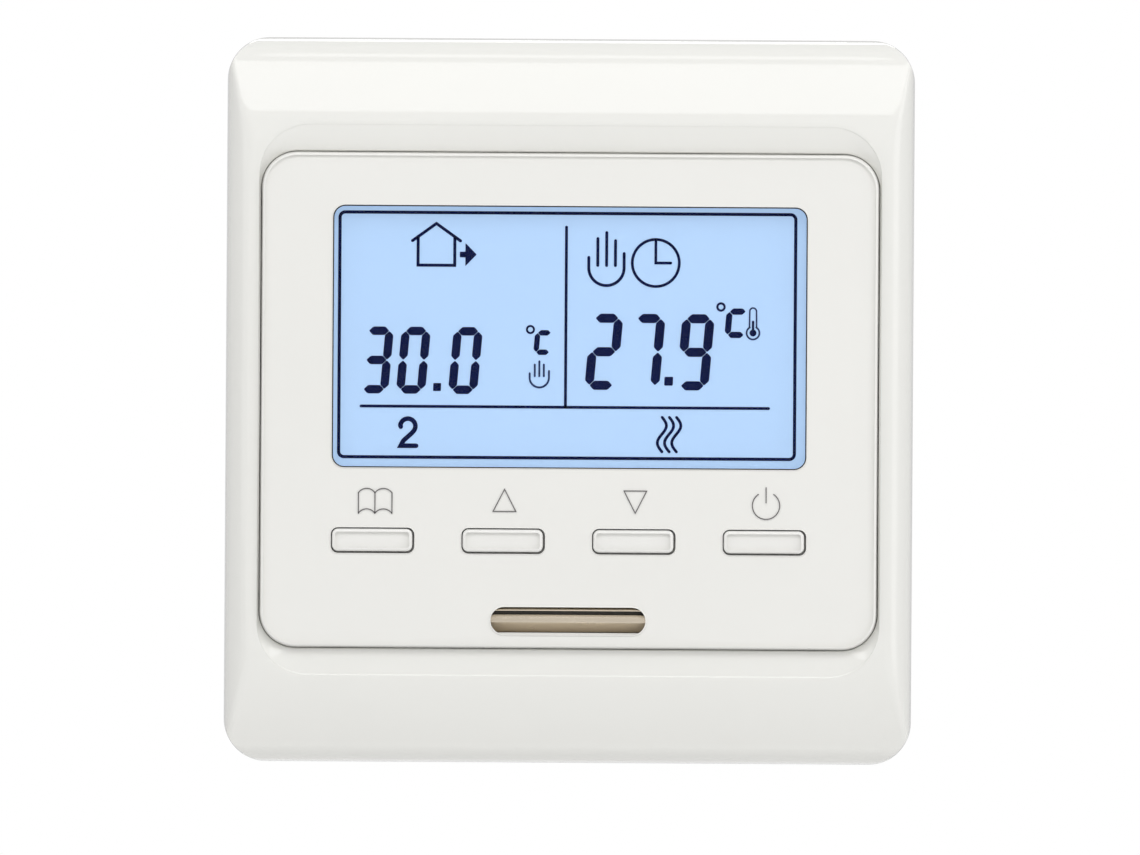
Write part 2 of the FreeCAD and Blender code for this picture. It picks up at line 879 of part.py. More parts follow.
def room_sensor():
    """A thermistor bead on two leads, at the lower right corner where room air reaches it."""
    across, up = "sensor_across", "-lower_parts_down"
    bead = doc.addObject("Part::Sphere", "sensor_bead")
    bead.setExpression("Radius", bound("sensor_radius"))
    place(bead, across, up, out=f"{board_front} + sensor_stand")
    leads = []
    for side in ("-", ""):
        lead = new_body(f"sensor_lead_{len(leads)}")
        wire = (f"{across} + ({side}sensor_lead_spread)", up, "sensor_lead")
        pad(lead, [wire], board_front, f"{board_front} + sensor_stand")
        leads.append(lead)
    sensor = doc.addObject("Part::MultiFuse", "room_sensor")
    sensor.Label = "room_sensor"
    sensor.Shapes = [bead, *leads]
    return sensor


def header_strip():
    body = new_body("header_strip")
    pad(body, [header_outline()], "strip_back", board_back)
    holes = [rectangle(across, "header_up", "header_pin", "header_pin") for across in header_places]
    cut(body, holes, "strip_back", board_back)
    return body


def header_pins():
    body = new_body("header_pins")
    pins = [rectangle(across, "header_up", "header_pin", "header_pin") for across in header_places]
    pad(body, pins, "-pin_reach", f"{board_front} + header_pin")
    return body


def module_back_cover():
    body = new_body("module_back_cover")
    outline = rounded("0", "0", "panel_width", "panel_height", "panel_corner")
    pad(body, [outline], cover_back, "back_cover_front")
    rests = [
        (across, up, "rest_radius")
        for across, up in four("(control_board_width / 2 - rest_inset)", "(leg_up - rest_inset)")
    ]
    pad(body, rests, "back_cover_front - join", board_back)
    legs = [
        rectangle(across, up, "leg_width", "leg_thickness")
        for across, up in four("leg_across", "leg_up")
    ]
    pad(body, legs, "-leg_reach", f"{cover_back} + join")
    cut(body, [header_outline("2 * small_clearance")], cover_back, "back_cover_front")
    holes = [(across, up, "housing_screw_radius + join") for across, up in four(boss_across, boss_up)]
    cut(body, holes, cover_back, "back_cover_front")
    return body


def cross_slot(screw, radius, width, back, front):
    """A cross recess in a screw's head, between two distances out."""
    long, narrow = f"2 * {radius}", f"{radius} * {width}"
    cut(screw, [rectangle("0", "0", long, narrow)], back, front)
    cut(screw, [rectangle("0", "0", narrow, long)], back, front)


def small_screw(name, across, up, seat, head, shank, reach, rear_head=False):
    """A small flat-headed screw. Its head stands in front of the seat, or behind it with a rear head."""
    way, other = ("-", "+") if rear_head else ("+", "-")
    tip, top = f"({seat} {other} {reach})", f"({seat} {way} small_head_depth)"
    floor = f"({top} {other} small_recess)"
    profile = [("0", tip), (shank, tip), (shank, seat), (head, seat), (head, top), ("0", top)]
    screw = turned(name, profile[::-1] if rear_head else profile, across, up)
    faces = (top, floor) if rear_head else (floor, top)
    cross_slot(screw, f"({head} * small_cross)", "cross_width", *faces)
    return screw


def module_screws():
    """They go in from behind, through the back cover into the panel's corner bosses."""
    shank = "(housing_screw_radius - module_screw_play)"
    members = [
        small_screw(
            f"module_screw_{i}",
            across,
            up,
            cover_back,
            "module_screw_head",
            shank,
            "module_screw_reach",
            rear_head=True,
        )
        for i, (across, up) in enumerate(four(boss_across, boss_up), start=1)
    ]
    return group("module_screws", members)


# ---- wall bracket, its screws and the rear housing ----


def mounting_bracket():
    body = new_body("mounting_bracket")
    outline = rounded("0", "0", "bracket_side", "bracket_side", "bracket_corner")
    pad(body, [outline], "0", "bracket_thickness")
    room = "2 * housing_clearance"
    opening = cut_rectangle("0", "0", f"housing_width + {room}", f"housing_height + {room}", "housing_cut")
    slots = [
        upright(stadium("0", f"{side}fixing_spacing / 2", "slot_length", "2 * fixing_hole"))
        for side in ("-", "")
    ]
    holes = [("0", f"{side}fixing_spacing / 2", "fixing_hole") for side in ("-", "")]
    holes += [
        (across, up, "housing_screw_radius")
        for across, up in four("housing_screw_across", "housing_screw_up")
    ]
    windows = [
        rectangle(across, up, "leg_width + 2 * leg_clearance", "leg_thickness + 2 * leg_clearance")
        for across, up in four("leg_across", "leg_up")
    ]
    cut(body, [opening, *slots, *holes, *windows], "0", "bracket_thickness")
    return body


def mounting_screws():
    """Countersunk screws whose cones rest on the edges of the bracket's slots."""
    head_top = "(bracket_thickness + screw_head - fixing_hole + screw_head_land + screw_seat_gap)"
    cone_end = f"({head_top} - screw_head_land - screw_head + screw_neck)"
    tip = f"({head_top} - screw_length)"
    profile = [
        ("0", tip),
        ("screw_tip", tip),
        ("screw_radius", f"{tip} + screw_point"),
        ("screw_radius", "-small_clearance"),
        ("screw_neck", "-small_clearance"),
        ("screw_neck", cone_end),
        ("screw_head", f"{head_top} - screw_head_land"),
        ("screw_head", head_top),
        ("0", head_top),
    ]
    members = []
    for side in ("-", ""):
        screw = turned(f"mounting_screw_{len(members)}", profile, f"{side}fixing_spacing / 2", "0")
        floor = f"({head_top} - screw_recess)"
        cross_slot(screw, "(screw_head * screw_cross)", "cross_width", floor, head_top)
        members.append(screw)
    return group("mounting_screws", members)


def rear_housing():
    body = new_body("rear_housing")
    box = cut_rectangle("0", "0", "housing_width", "housing_height", "housing_cut")
    pad(body, [box], "-housing_rear", flange_front)
    flange = cut_rectangle(
        "0", "0", "housing_width + 2 * flange_margin", "housing_height + 2 * flange_margin", "flange_cut"
    )
    pad(body, [flange], "bracket_thickness", flange_front)
    mouth = inner_outline("housing_wall - board_ledge")
    cut(body, [mouth], f"{flange_front} - cover_thickness", flange_front)
    cut(body, [inner_outline("housing_wall")], power_back, flange_front)
    cut(body, [inner_outline("housing_wall + board_ledge")], "-housing_rear + housing_floor", flange_front)
    notch_width = f"terminal_pitch * {terminals} + 2 * block_margin + 2 * small_clearance"
    notch_height = "block_height + small_clearance"
    notch_up = f"-housing_height / 2 + ({notch_height} - past) / 2"
    notch = rectangle("0", notch_up, notch_width, f"{notch_height} + past")
    cut(body, [notch], "-housing_rear - past", power_back)
    holes = [
        (across, up, "housing_screw_radius + join")
        for across, up in four("housing_screw_across", "housing_screw_up")
    ]
    cut(body, holes, "bracket_thickness", flange_front)
    return body


def inner_outline(wall, clearance="0"):
    """The housing's outline drawn in by a wall, with its cut corners kept parallel."""
    inset = f"({wall} + {clearance})"
    corner = f"(housing_cut - {inset} * (2 - sqrt(2)))"
    return cut_rectangle("0", "0", f"housing_width - 2 * {inset}", f"housing_height - 2 * {inset}", corner)


def base_cover():
    """The lid of the rear housing, with posts that hold the power board on its ledge."""
    body = new_body("base_cover")
    lid = inner_outline("housing_wall - board_ledge", "small_clearance")
    back = f"({flange_front} - cover_thickness)"
    pad(body, [lid], back, f"{flange_front} - cover_gap")
    corners = four("(housing_width / 2 - post_inset_across)", "(housing_height / 2 - post_inset_up)")
    posts = [(across, up, "post_radius") for across, up in corners]
    pad(body, posts, "power_board_front", f"{back} + join")
    cut(body, [header_outline("2 * small_clearance")], back, flange_front)
    return body


def housing_screws():
    shank = "(housing_screw_radius - housing_screw_play)"
    members = [
        small_screw(
            f"housing_screw_{i}",
            across,
            up,
            flange_front,
            "housing_screw_head",
            shank,
            "housing_screw_reach",
        )
        for i, (across, up) in enumerate(four("housing_screw_across", "housing_screw_up"), start=1)
    ]
    return group("housing_screws", members)


# ---- power board ----


def power_board():
    body = new_body("power_board")
    pad(body, [inner_outline("housing_wall", "small_clearance")], power_back, "power_board_front")
    width, height = "contact_width + small_clearance", "contact_thickness + small_clearance"
    holes = [rectangle(across, contact_pin_up(), width, height) for across in terminal_places]
    cut(body, holes, power_back, "power_board_front")
    return body


def relay():
    body = new_body("relay")
    outline = rounded("relay_across", "relay_up", "relay_length", "relay_width", "relay_corner")
    pad(body, [outline], f"{power_back} - relay_depth", power_back)
    soften(body, "relay_edge", lies_at(f"{power_back} - relay_depth", "0", "0"))
    return body


def film_capacitor():
    body = new_body("film_capacitor")
    outline = rounded("film_across", "film_up", "film_length", "film_width", "film_corner")
    pad(body, [outline], f"{power_back} - film_depth", power_back)
    soften(body, "film_edge", lies_at(f"{power_back} - film_depth", "0", "0"))
    return body


def electrolytic_capacitor():
    rear = f"({power_back} - can_depth)"
    profile = [
        ("0", rear),
        ("can_radius - can_edge", rear),
        ("can_radius", f"{rear} + can_edge"),
        ("can_radius", f"{power_back} - can_groove_up - can_edge"),
        ("can_radius - can_edge", f"{power_back} - can_groove_up"),
        ("can_radius", f"{power_back} - can_groove_up + can_edge"),
        ("can_radius", power_back),
        ("0", power_back),
    ]
    return turned("electrolytic_capacitor", profile, "can_across", "can_up")


def varistor():
    """An upright coated disc on two leads."""
    disc = doc.addObject("Part::Cylinder", "varistor_disc")
    disc.setExpression("Radius", bound("disc_radius"))
    disc.setExpression("Height", bound("disc_thickness"))
    disc.setExpression("Placement.Base.x", bound("disc_across"))
    disc.setExpression("Placement.Base.y", bound(f"-({power_back}) + disc_radius + disc_stand"))
    disc.setExpression("Placement.Base.z", bound("disc_up - disc_thickness / 2"))
    leads = new_body("varistor_leads")
    wires = [(f"disc_across {side} disc_lead_spread", "disc_up", "disc_lead") for side in ("-", "+")]
    pad(leads, wires, f"{power_back} - 2 * disc_stand - disc_lead", power_back)
    fused = doc.addObject("Part::MultiFuse", "varistor")
    fused.Label = "varistor"
    fused.Shapes = [disc, leads]
    return fused


def fuse():
    rear = f"({power_back} - fuse_depth)"
    profile = [
        ("0", rear),
        ("fuse_radius - fuse_edge", rear),
        ("fuse_radius", f"{rear} + fuse_edge"),
        ("fuse_radius", f"{power_back} - fuse_stand"),
        ("fuse_radius - fuse_step", f"{power_back} - fuse_stand"),
        ("fuse_radius - fuse_step", power_back),
        ("0", power_back),
    ]
    return turned("fuse", profile, "fuse_across", "fuse_up")


def power_small_parts():
    """Diodes and resistors, on both faces of the power board."""
    body = new_body("power_small_parts")
    front = [
        rectangle(across, "-diode_down", "diode_length", "diode_width")
        for across in spread(diodes, "diode_pitch")
    ]
    front += [
        rectangle(across, "resistor_up", "resistor_length", "resistor_width")
        for across in spread(resistors, "resistor_pitch")
    ]
    pad(body, front, "power_board_front", "power_board_front + front_parts_depth")
    rear = [
        rectangle(across, "tall_part_up", "tall_part_width", "tall_part_height")
        for across in spread(2, "tall_part_pitch")
    ]
    pad(body, rear, f"{power_back} - tall_part_width", power_back)
    return body


def header_socket():
    body = new_body("header_socket")
    pad(body, [header_outline()], "power_board_front", "socket_front")
    holes = [rectangle(across, "header_up", "header_hole", "header_hole") for across in header_places]
    cut(body, holes, "-pin_reach - past", "socket_front")
    return body


# ---- terminals: depths are measured in from the rear face, which is the screwdriver's side ----


def contact_pin_up():
    """Height of the solder pins, just above the clamp cells."""
    return f"({cell_up} + cage_height / 2 + cage_clearance + contact_thickness / 2 + pin_gap)"


def from_rear(depth):
    return f"({terminal_rear} + {depth})"


cell_front = "(cage_top + cage_thread_depth + cage_window + cage_floor_depth + cell_end_gap)"
cell_rear = "(cage_top - clamp_travel - cell_top_gap)"


def terminal_block():
    body = new_body("terminal_block")
    outline = rectangle("0", block_up, f"terminal_pitch * {terminals} + 2 * block_margin", "block_height")
    pad(body, [outline], terminal_rear, power_back)
    cells = [
        rectangle(across, cell_up, "cage_width + 2 * cage_clearance", "cage_height + 2 * cage_clearance")
        for across in terminal_places
    ]
    cut(body, cells, from_rear(cell_rear), from_rear(cell_front))
    wells = [(across, cell_up, "terminal_head_radius + head_clearance") for across in terminal_places]
    cut(body, wells, terminal_rear, from_rear(cell_rear))
    entries = [
        rectangle(across, "-(housing_height - block_wall) / 2", "entry_side", "block_wall + entry_rise")
        for across in terminal_places
    ]
    entry_rear = "(contact_top + contact_thickness - entry_rise)"
    cut(body, entries, from_rear(entry_rear), from_rear(f"({entry_rear} + entry_side)"))
    low = f"({cell_up} + cage_height / 2)"
    high = f"({contact_pin_up()} + contact_thickness / 2 + small_clearance / 2)"
    channels = [
        rectangle(across, f"({low} + {high}) / 2", "contact_width + small_clearance", f"{high} - {low}")
        for across in terminal_places
    ]
    cut(body, channels, from_rear("(contact_top - small_clearance / 2)"), power_back)
    return body


def terminal_contacts():
    """A fixed bar through each cage, bent down to a pin through the power board."""
    body = new_body("terminal_contacts")
    low = f"({cell_up} - cage_height / 2 + bar_end_gap)"
    high = f"({contact_pin_up()} + contact_thickness / 2)"
    bars = [
        rectangle(across, f"({low} + {high}) / 2", "contact_width", f"{high} - {low}")
        for across in terminal_places
    ]
    pad(body, bars, from_rear("contact_top"), from_rear("(contact_top + contact_thickness)"))
    pins = [
        rectangle(across, contact_pin_up(), "contact_width", "contact_thickness")
        for across in terminal_places
    ]
    pad(body, pins, from_rear("(contact_top + contact_thickness - join)"), "power_board_front + pin_end")
    return body


def terminal_cage(name, across):
    """A box clamp with a threaded top, open from below so that a wire goes through."""
    body = new_body(name)
    front = "(cage_top + cage_thread_depth + cage_window + cage_floor_depth)"
    pad(body, [rectangle("0", "0", "cage_width", "cage_height")], from_rear("cage_top"), from_rear(front))
    window_rear = "(cage_top + cage_thread_depth)"
    window = rectangle("0", "0", "cage_width - 2 * cage_wall", "cage_height + past")
    cut(body, [window], from_rear(window_rear), from_rear(f"({window_rear} + cage_window)"))
    thread = [("0", "0", "terminal_screw_radius + thread_clearance")]
    cut(body, thread, from_rear("cage_top"), from_rear(window_rear))
    return place(body, across, cell_up)


def terminal_screw(name, across):
    top, seat = "terminal_head_top", "(terminal_head_top + terminal_head_depth)"
    profile = [
        ("0", from_rear(top)),
        ("terminal_head_radius", from_rear(top)),
        ("terminal_head_radius", from_rear(seat)),
        ("terminal_screw_radius", from_rear(seat)),
        ("terminal_screw_radius", from_rear("(contact_top - join)")),
        ("0", from_rear("(contact_top - join)")),
    ]
    body = turned(name, profile, across, cell_up)
    slot = rectangle("0", "0", "3 * terminal_head_radius", "terminal_screw_slot")
    cut(body, [slot], from_rear(top), from_rear(f"({top} + slot_depth)"))
    return body


# ---- the assembly ----

parts = [
    outer_frame(),
    front_panel(),
    window_lens(),
    trim_bar(),
    lcd_glass(),
    light_guide(),
    lcd_holder(),
    zebra_strip(),
    backlight_leds(),
    control_board(),
    control_chip(),
    board_small_parts(),
    backup_cell(),
    room_sensor(),
    switch_bases(),
    switch_covers(),
    header_strip(),
    header_pins(),
    module_back_cover(),
    module_screws(),
    mounting_bracket(),
    mounting_screws(),
    rear_housing(),
    base_cover(),
    housing_screws(),
    power_board(),
    relay(),
    film_capacitor(),
    electrolytic_capacitor(),
    varistor(),
    fuse(),
    power_small_parts(),
    header_socket(),
    terminal_block(),
    terminal_contacts(),
]
for key, across in zip(("menu", "up", "down", "power"), key_places):
    parts.append(key_cap(f"key_{key}", across))
    parts.append(key_plunger(f"key_{key}_plunger", across))
    parts.append(switch_dome(f"key_{key}_dome", across))
for i, across in enumerate(terminal_places, start=1):
    parts.append(terminal_screw(f"terminal_screw_{i}", across))
    parts.append(terminal_cage(f"terminal_cage_{i}", across))

doc.recompute()
faults = [item.Label for item in doc.Objects if "Invalid" in item.State or "Error" in item.State]
faults += [part.Label for part in parts if part.Shape.isNull() or not part.Shape.isValid()]
if faults:
    sys.exit(f"these did not come out right: {faults}")
os.makedirs("parts", exist_ok=True)
for part in parts:
    part.Shape.exportStep(f"parts/{part.Label}.step")
print(len(parts), "sub-parts written")
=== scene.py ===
import json
import math

import bmesh
import bpy
from mathutils import Matrix, Quaternion, Vector


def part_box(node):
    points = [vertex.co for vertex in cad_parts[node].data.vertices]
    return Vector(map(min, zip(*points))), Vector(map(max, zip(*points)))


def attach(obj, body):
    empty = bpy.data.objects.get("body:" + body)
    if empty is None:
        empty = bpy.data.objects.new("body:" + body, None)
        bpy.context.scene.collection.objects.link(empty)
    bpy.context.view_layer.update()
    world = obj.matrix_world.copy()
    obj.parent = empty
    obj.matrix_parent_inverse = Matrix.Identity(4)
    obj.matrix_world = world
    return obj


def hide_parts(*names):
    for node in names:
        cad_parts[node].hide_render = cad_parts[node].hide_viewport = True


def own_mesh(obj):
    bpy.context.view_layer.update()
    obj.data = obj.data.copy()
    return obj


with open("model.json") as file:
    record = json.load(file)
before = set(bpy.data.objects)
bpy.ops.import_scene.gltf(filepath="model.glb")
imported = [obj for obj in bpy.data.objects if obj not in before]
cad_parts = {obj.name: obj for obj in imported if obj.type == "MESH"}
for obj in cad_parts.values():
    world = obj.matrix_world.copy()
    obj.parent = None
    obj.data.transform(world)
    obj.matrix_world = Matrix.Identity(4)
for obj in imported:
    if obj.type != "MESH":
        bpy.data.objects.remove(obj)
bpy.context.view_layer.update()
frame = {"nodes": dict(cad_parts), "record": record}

mm = 0.001
quarter = math.pi / 2
weld = 1e-7  # points nearer than this, in metres, become one
hair = 0.01  # keeps a full round from closing on itself


def at(across, out, up):  # a place in millimetres; out is in front of the wall
    return Vector((across * mm, -out * mm, up * mm))


def sidesOf(node):  # a node's box in millimetres
    low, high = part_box(node)
    return {
        "left": low.x / mm, "right": high.x / mm, "low": low.z / mm, "high": high.z / mm,
        "front": -low.y / mm, "back": -high.y / mm,
        "wide": (high.x - low.x) / mm, "tall": (high.z - low.z) / mm,
        "across": (low.x + high.x) / 2 / mm, "up": (low.z + high.z) / 2 / mm,
    }


# every surface gets a colour that drifts a little, a grain and a roughness that varies
surface = {"driftDetail": 3, "driftBand": (0.35, 0.65), "grainDetail": 4, "grainBand": (0.3, 0.7),
           "coatRoughness": 0.08}


def finish(name, colour, drift=0.03, patch=40, roughness=(0.3, 0.4), grain=900, depth=0.01, stretch=(1, 1, 1),
           metallic=0.0, coat=0.0, second=None, emission=None, glow=0.0, transmission=0.0, ior=1.5):
    material = bpy.data.materials.new(name)
    material.use_nodes = True
    nodes, links = material.node_tree.nodes, material.node_tree.links
    shader = nodes["Principled BSDF"]
    place = nodes.new("ShaderNodeTexCoord")
    mapping = nodes.new("ShaderNodeMapping")
    mapping.inputs["Scale"].default_value = stretch
    links.new(place.outputs["Object"], mapping.inputs["Vector"])

    def noise(scale, detail):
        node = nodes.new("ShaderNodeTexNoise")
        node.inputs["Scale"].default_value = scale
        node.inputs["Detail"].default_value = detail
        links.new(mapping.outputs["Vector"], node.inputs["Vector"])
        return node.outputs["Fac"]

    if drift or second:  # slow drift of the colour
        ramp = nodes.new("ShaderNodeValToRGB")
        first, last = ramp.color_ramp.elements
        first.position, last.position = surface["driftBand"]
        first.color = (*(second or [c * (1 - drift) for c in colour]), 1)
        last.color = (*colour, 1)
        links.new(noise(patch, surface["driftDetail"]), ramp.inputs["Fac"])
        links.new(ramp.outputs["Color"], shader.inputs["Base Color"])
    fine = noise(grain, surface["grainDetail"])  # the grain of the mould or the metal
    spread = nodes.new("ShaderNodeMapRange")
    spread.inputs["From Min"].default_value, spread.inputs["From Max"].default_value = surface["grainBand"]
    spread.inputs["To Min"].default_value, spread.inputs["To Max"].default_value = roughness
    links.new(fine, spread.inputs["Value"])
    links.new(spread.outputs["Result"], shader.inputs["Roughness"])
    bump = nodes.new("ShaderNodeBump")
    bump.inputs["Strength"].default_value = 1.0
    bump.inputs["Distance"].default_value = depth * mm
    links.new(fine, bump.inputs["Height"])
    links.new(bump.outputs["Normal"], shader.inputs["Normal"])
    plain = {"Base Color": (*colour, 1), "Metallic": metallic, "Coat Weight": coat, "IOR": ior,
             "Coat Roughness": surface["coatRoughness"], "Transmission Weight": transmission}
    if emission:
        plain.update({"Emission Color": (*emission, 1), "Emission Strength": glow})
    for label, value in plain.items():
        shader.inputs[label].default_value = value
    return material


warmWhite = (0.80, 0.797, 0.765)
finishes = {
    "frame_plastic": finish("glossyFrameWhite", warmWhite, drift=0.012, roughness=(0.035, 0.06), grain=350,
                            depth=0.0004),
    "panel_plastic": finish("satinPanelWhite", (0.805, 0.80, 0.77), drift=0.012, roughness=(0.36, 0.46),
                            grain=2600, depth=0.0035),
    "key_plastic": finish("satinKeyWhite", (0.815, 0.81, 0.785), drift=0.01, roughness=(0.3, 0.38),
                          grain=2600, depth=0.003),
    "clear_lens": finish("clearAcrylic", (1.0, 1.0, 1.0), drift=0.0, roughness=(0.0, 0.015), grain=200,
                         depth=0.0002, transmission=1.0, ior=1.15),
    "lcd_glass": finish("litDisplayBlue", (0.27, 0.39, 0.56), drift=0.02, patch=25, roughness=(0.3, 0.36),
                        grain=3500, depth=0.001, emission=(0.49, 0.70, 1.0), glow=0.55),
    "light_guide": finish("milkyAcrylic", (0.72, 0.80, 0.92), drift=0.03, roughness=(0.2, 0.3),
                          emission=(0.5, 0.7, 1.0), glow=0.3),
    "white_nylon": finish("whiteNylon", (0.68, 0.68, 0.65), drift=0.04, roughness=(0.42, 0.52), grain=1800,
                          depth=0.006),
    "zebra_rubber": finish("softGreyRubber", (0.06, 0.06, 0.065), second=(0.16, 0.12, 0.15), patch=900,
                           stretch=(1, 0.05, 0.05), roughness=(0.6, 0.8), grain=1500, depth=0.01),
    "circuit_green": finish("greenSolderMask", (0.015, 0.13, 0.045), second=(0.012, 0.09, 0.03), patch=260,
                            roughness=(0.22, 0.34), grain=700, depth=0.012, coat=0.3),
    "chip_black": finish("blackEpoxy", (0.018, 0.018, 0.02), drift=0.3, roughness=(0.5, 0.65), grain=2400,
                         depth=0.008),
    "switch_black": finish("blackMoulding", (0.02, 0.02, 0.022), drift=0.25, roughness=(0.35, 0.48),
                           grain=1600, depth=0.005),
    "steel": finish("zincSheet", (0.60, 0.61, 0.62), second=(0.48, 0.49, 0.51), patch=160,
                    stretch=(1, 1, 0.15), metallic=1.0, roughness=(0.28, 0.42), grain=1400, depth=0.004),
    "spring_steel": finish("springSteel", (0.66, 0.65, 0.62), drift=0.1, metallic=1.0, roughness=(0.18, 0.26),
                           grain=900, depth=0.002),
    "yellow_zinc": finish("yellowZinc", (0.78, 0.60, 0.22), second=(0.72, 0.42, 0.30), patch=420,
                          metallic=1.0, roughness=(0.16, 0.3), grain=1500, depth=0.004),
    "screw_steel": finish("brightZincScrew", (0.62, 0.63, 0.64), second=(0.5, 0.52, 0.56), patch=500,
                          metallic=1.0, roughness=(0.2, 0.34), grain=1600, depth=0.004),
    "nickel_bar": finish("champagneNickel", (0.88, 0.77, 0.62), second=(0.80, 0.70, 0.56), patch=300,
                         stretch=(0.12, 1, 1), metallic=1.0, roughness=(0.14, 0.28), grain=1500, depth=0.003),
    "housing_plastic": finish("pearlGreyHousing", (0.62, 0.62, 0.60), drift=0.05, roughness=(0.4, 0.52),
                              grain=1500, depth=0.012),
    "relay_blue": finish("relayBlue", (0.02, 0.09, 0.36), drift=0.15, roughness=(0.22, 0.32), grain=1200,
                         depth=0.004),
    "film_yellow": finish("capacitorYellow", (0.72, 0.42, 0.03), drift=0.1, roughness=(0.25, 0.35),
                          grain=1200, depth=0.004),
    "can_sleeve": finish("darkSleeve", (0.012, 0.014, 0.02), drift=0.3, roughness=(0.2, 0.3), grain=500,
                         depth=0.01),
    "disc_blue": finish("dippedBlue", (0.03, 0.12, 0.42), drift=0.2, roughness=(0.3, 0.4), grain=500,
                        depth=0.03),
    "fuse_black": finish("fuseBlack", (0.03, 0.025, 0.02), drift=0.2, roughness=(0.4, 0.5), grain=1200,
                         depth=0.006),
    "contact_brass": finish("tinnedBrass", (0.74, 0.64, 0.42), second=(0.66, 0.56, 0.36), patch=400,
                            metallic=1.0, roughness=(0.25, 0.38), grain=1500, depth=0.004),
    "terminal_green": finish("terminalGreen", (0.03, 0.26, 0.10), drift=0.12, roughness=(0.34, 0.44),
                             grain=1400, depth=0.006),
    "led_white": finish("paleDiode", (0.82, 0.84, 0.7), drift=0.1, roughness=(0.2, 0.3),
                        emission=(0.8, 0.9, 1.0), glow=0.5),
    "sensor_bead": finish("glassBead", (0.05, 0.035, 0.03), drift=0.2, roughness=(0.08, 0.14), grain=300,
                          depth=0.004, coat=0.6),
}
segmentInk = finish("segmentNavy", (0.004, 0.009, 0.062), drift=0.05, roughness=(0.4, 0.5), grain=1500,
                    depth=0.0005, ior=1.1)
faintInk = finish("segmentNavyFaint", (0.03, 0.05, 0.14), drift=0.05, roughness=(0.4, 0.5), grain=1500,
                  depth=0.0005, ior=1.1)
printInk = finish("warmGreyInk", (0.12, 0.112, 0.115), drift=0.1, patch=600, roughness=(0.45, 0.6),
                  grain=3000, depth=0.001)
# painted shade: a dark material for strips that stand in for the shade in narrow gaps and grooves
gapShade = finish("paintedGapShade", (0.035, 0.03, 0.025), drift=0.2, roughness=(0.6, 0.75), grain=1500,
                  depth=0.004)
print("finishes ready:", len(finishes), "and four more for inks and shades")


def roundLoop(width, height, radius, middle=(0, 0), cornerSteps=8, sideSteps=1):
    corners = []
    for k, (sx, sz) in enumerate(((1, -1), (1, 1), (-1, 1), (-1, -1))):
        cx, cz = middle[0] + sx * (width / 2 - radius), middle[1] + sz * (height / 2 - radius)
        turns = [quarter * (k - 1 + i / cornerSteps) for i in range(cornerSteps + 1)]
        corners.append([(cx + radius * math.cos(a), cz + radius * math.sin(a)) for a in turns])
    loop = []
    for k, corner in enumerate(corners):
        (x0, z0), (x1, z1) = corner[-1], corners[(k + 1) % 4][0]
        loop += corner
        loop += [(x0 + (x1 - x0) * i / sideSteps, z0 + (z1 - z0) * i / sideSteps) for i in range(1, sideSteps)]
    return loop


def level(loop, out):
    return [at(x, out, z) for x, z in loop]


def skin(bm, loops, closed=False):
    rings = [[bm.verts.new(p) for p in loop] for loop in loops]
    pairs = list(zip(rings, rings[1:])) + ([(rings[-1], rings[0])] if closed else [])
    for a, b in pairs:
        for i in range(len(a)):
            j = (i + 1) % len(a)
            bm.faces.new((a[i], a[j], b[j], b[i]))
    return rings


def fillFlat(bm, rings):  # a flat face bounded by the first ring, with the others as holes
    edges = []
    for ring in rings:
        for a, b in zip(ring, ring[1:] + ring[:1]):
            edges.append(bm.edges.get((a, b)) or bm.edges.new((a, b)))
    bmesh.ops.triangle_fill(bm, edges=edges, use_beauty=True, normal=(0, -1, 0))


def solid(bm, loops):  # a stack of loops closed at both ends
    rings = skin(bm, loops)
    bm.faces.new(rings[0])
    bm.faces.new(rings[-1])
    return rings


# A known fault: the rows of a round edge are stacked the wrong way round by all that use it,
# so a flat face closes inside its rim. The shape is left unmended.
def edgeArc(radius, steps):  # how far a round edge has come in, and how far it has dropped
    return [(radius * (1 - math.sin(a)), radius * (1 - math.cos(a)))
            for a in (quarter * (steps - i) / steps for i in range(steps + 1))]


def softBlock(bm, width, height, corner, back, front, edge, middle=(0, 0), cornerSteps=5, edgeSteps=3, least=0.02):
    def loop(inset, out):
        inner = max(corner - inset, least)
        return level(roundLoop(width - 2 * inset, height - 2 * inset, inner, middle, cornerSteps), out)

    lower = [loop(inset, back + drop) for drop, inset in reversed(edgeArc(edge, edgeSteps))]
    upper = [loop(inset, front - drop) for drop, inset in edgeArc(edge, edgeSteps)]
    solid(bm, lower + upper)


def piece(bm, name, material, body, stands=(), sharp=35, weighted=True):
    bmesh.ops.remove_doubles(bm, verts=bm.verts, dist=weld)
    bmesh.ops.recalc_face_normals(bm, faces=bm.faces)
    mesh = bpy.data.meshes.new(name)
    bm.to_mesh(mesh)
    bm.free()
    return dress(mesh, name, material, body, stands, sharp, weighted)


def dress(mesh, name, material, body, stands=(), sharp=35, weighted=True):
    mesh.materials.clear()
    mesh.materials.append(material)
    mesh.polygons.foreach_set("use_smooth", [True] * len(mesh.polygons))
    mesh.set_sharp_from_angle(angle=math.radians(sharp))
    thing = bpy.data.objects.new(name, mesh)
    bpy.context.scene.collection.objects.link(thing)
    if weighted:
        normals = thing.modifiers.new("evenShading", "WEIGHTED_NORMAL")
        normals.keep_sharp = True
        normals.weight = 100
    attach(thing, body)
    if stands:
        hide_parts(*stands)
    return thing


def bake(thing):  # the evaluated shape as a plain mesh
    bpy.context.view_layer.update()
    mesh = bpy.data.meshes.new_from_object(thing.evaluated_get(bpy.context.evaluated_depsgraph_get()))
    bpy.data.objects.remove(thing)
    return mesh


def wayTo(azimuth, elevation):  # from the object towards a place round it, in degrees
    a, e = math.radians(azimuth), math.radians(elevation)
    return Vector((math.sin(a) * math.cos(e), -math.cos(a) * math.cos(e), math.sin(e)))


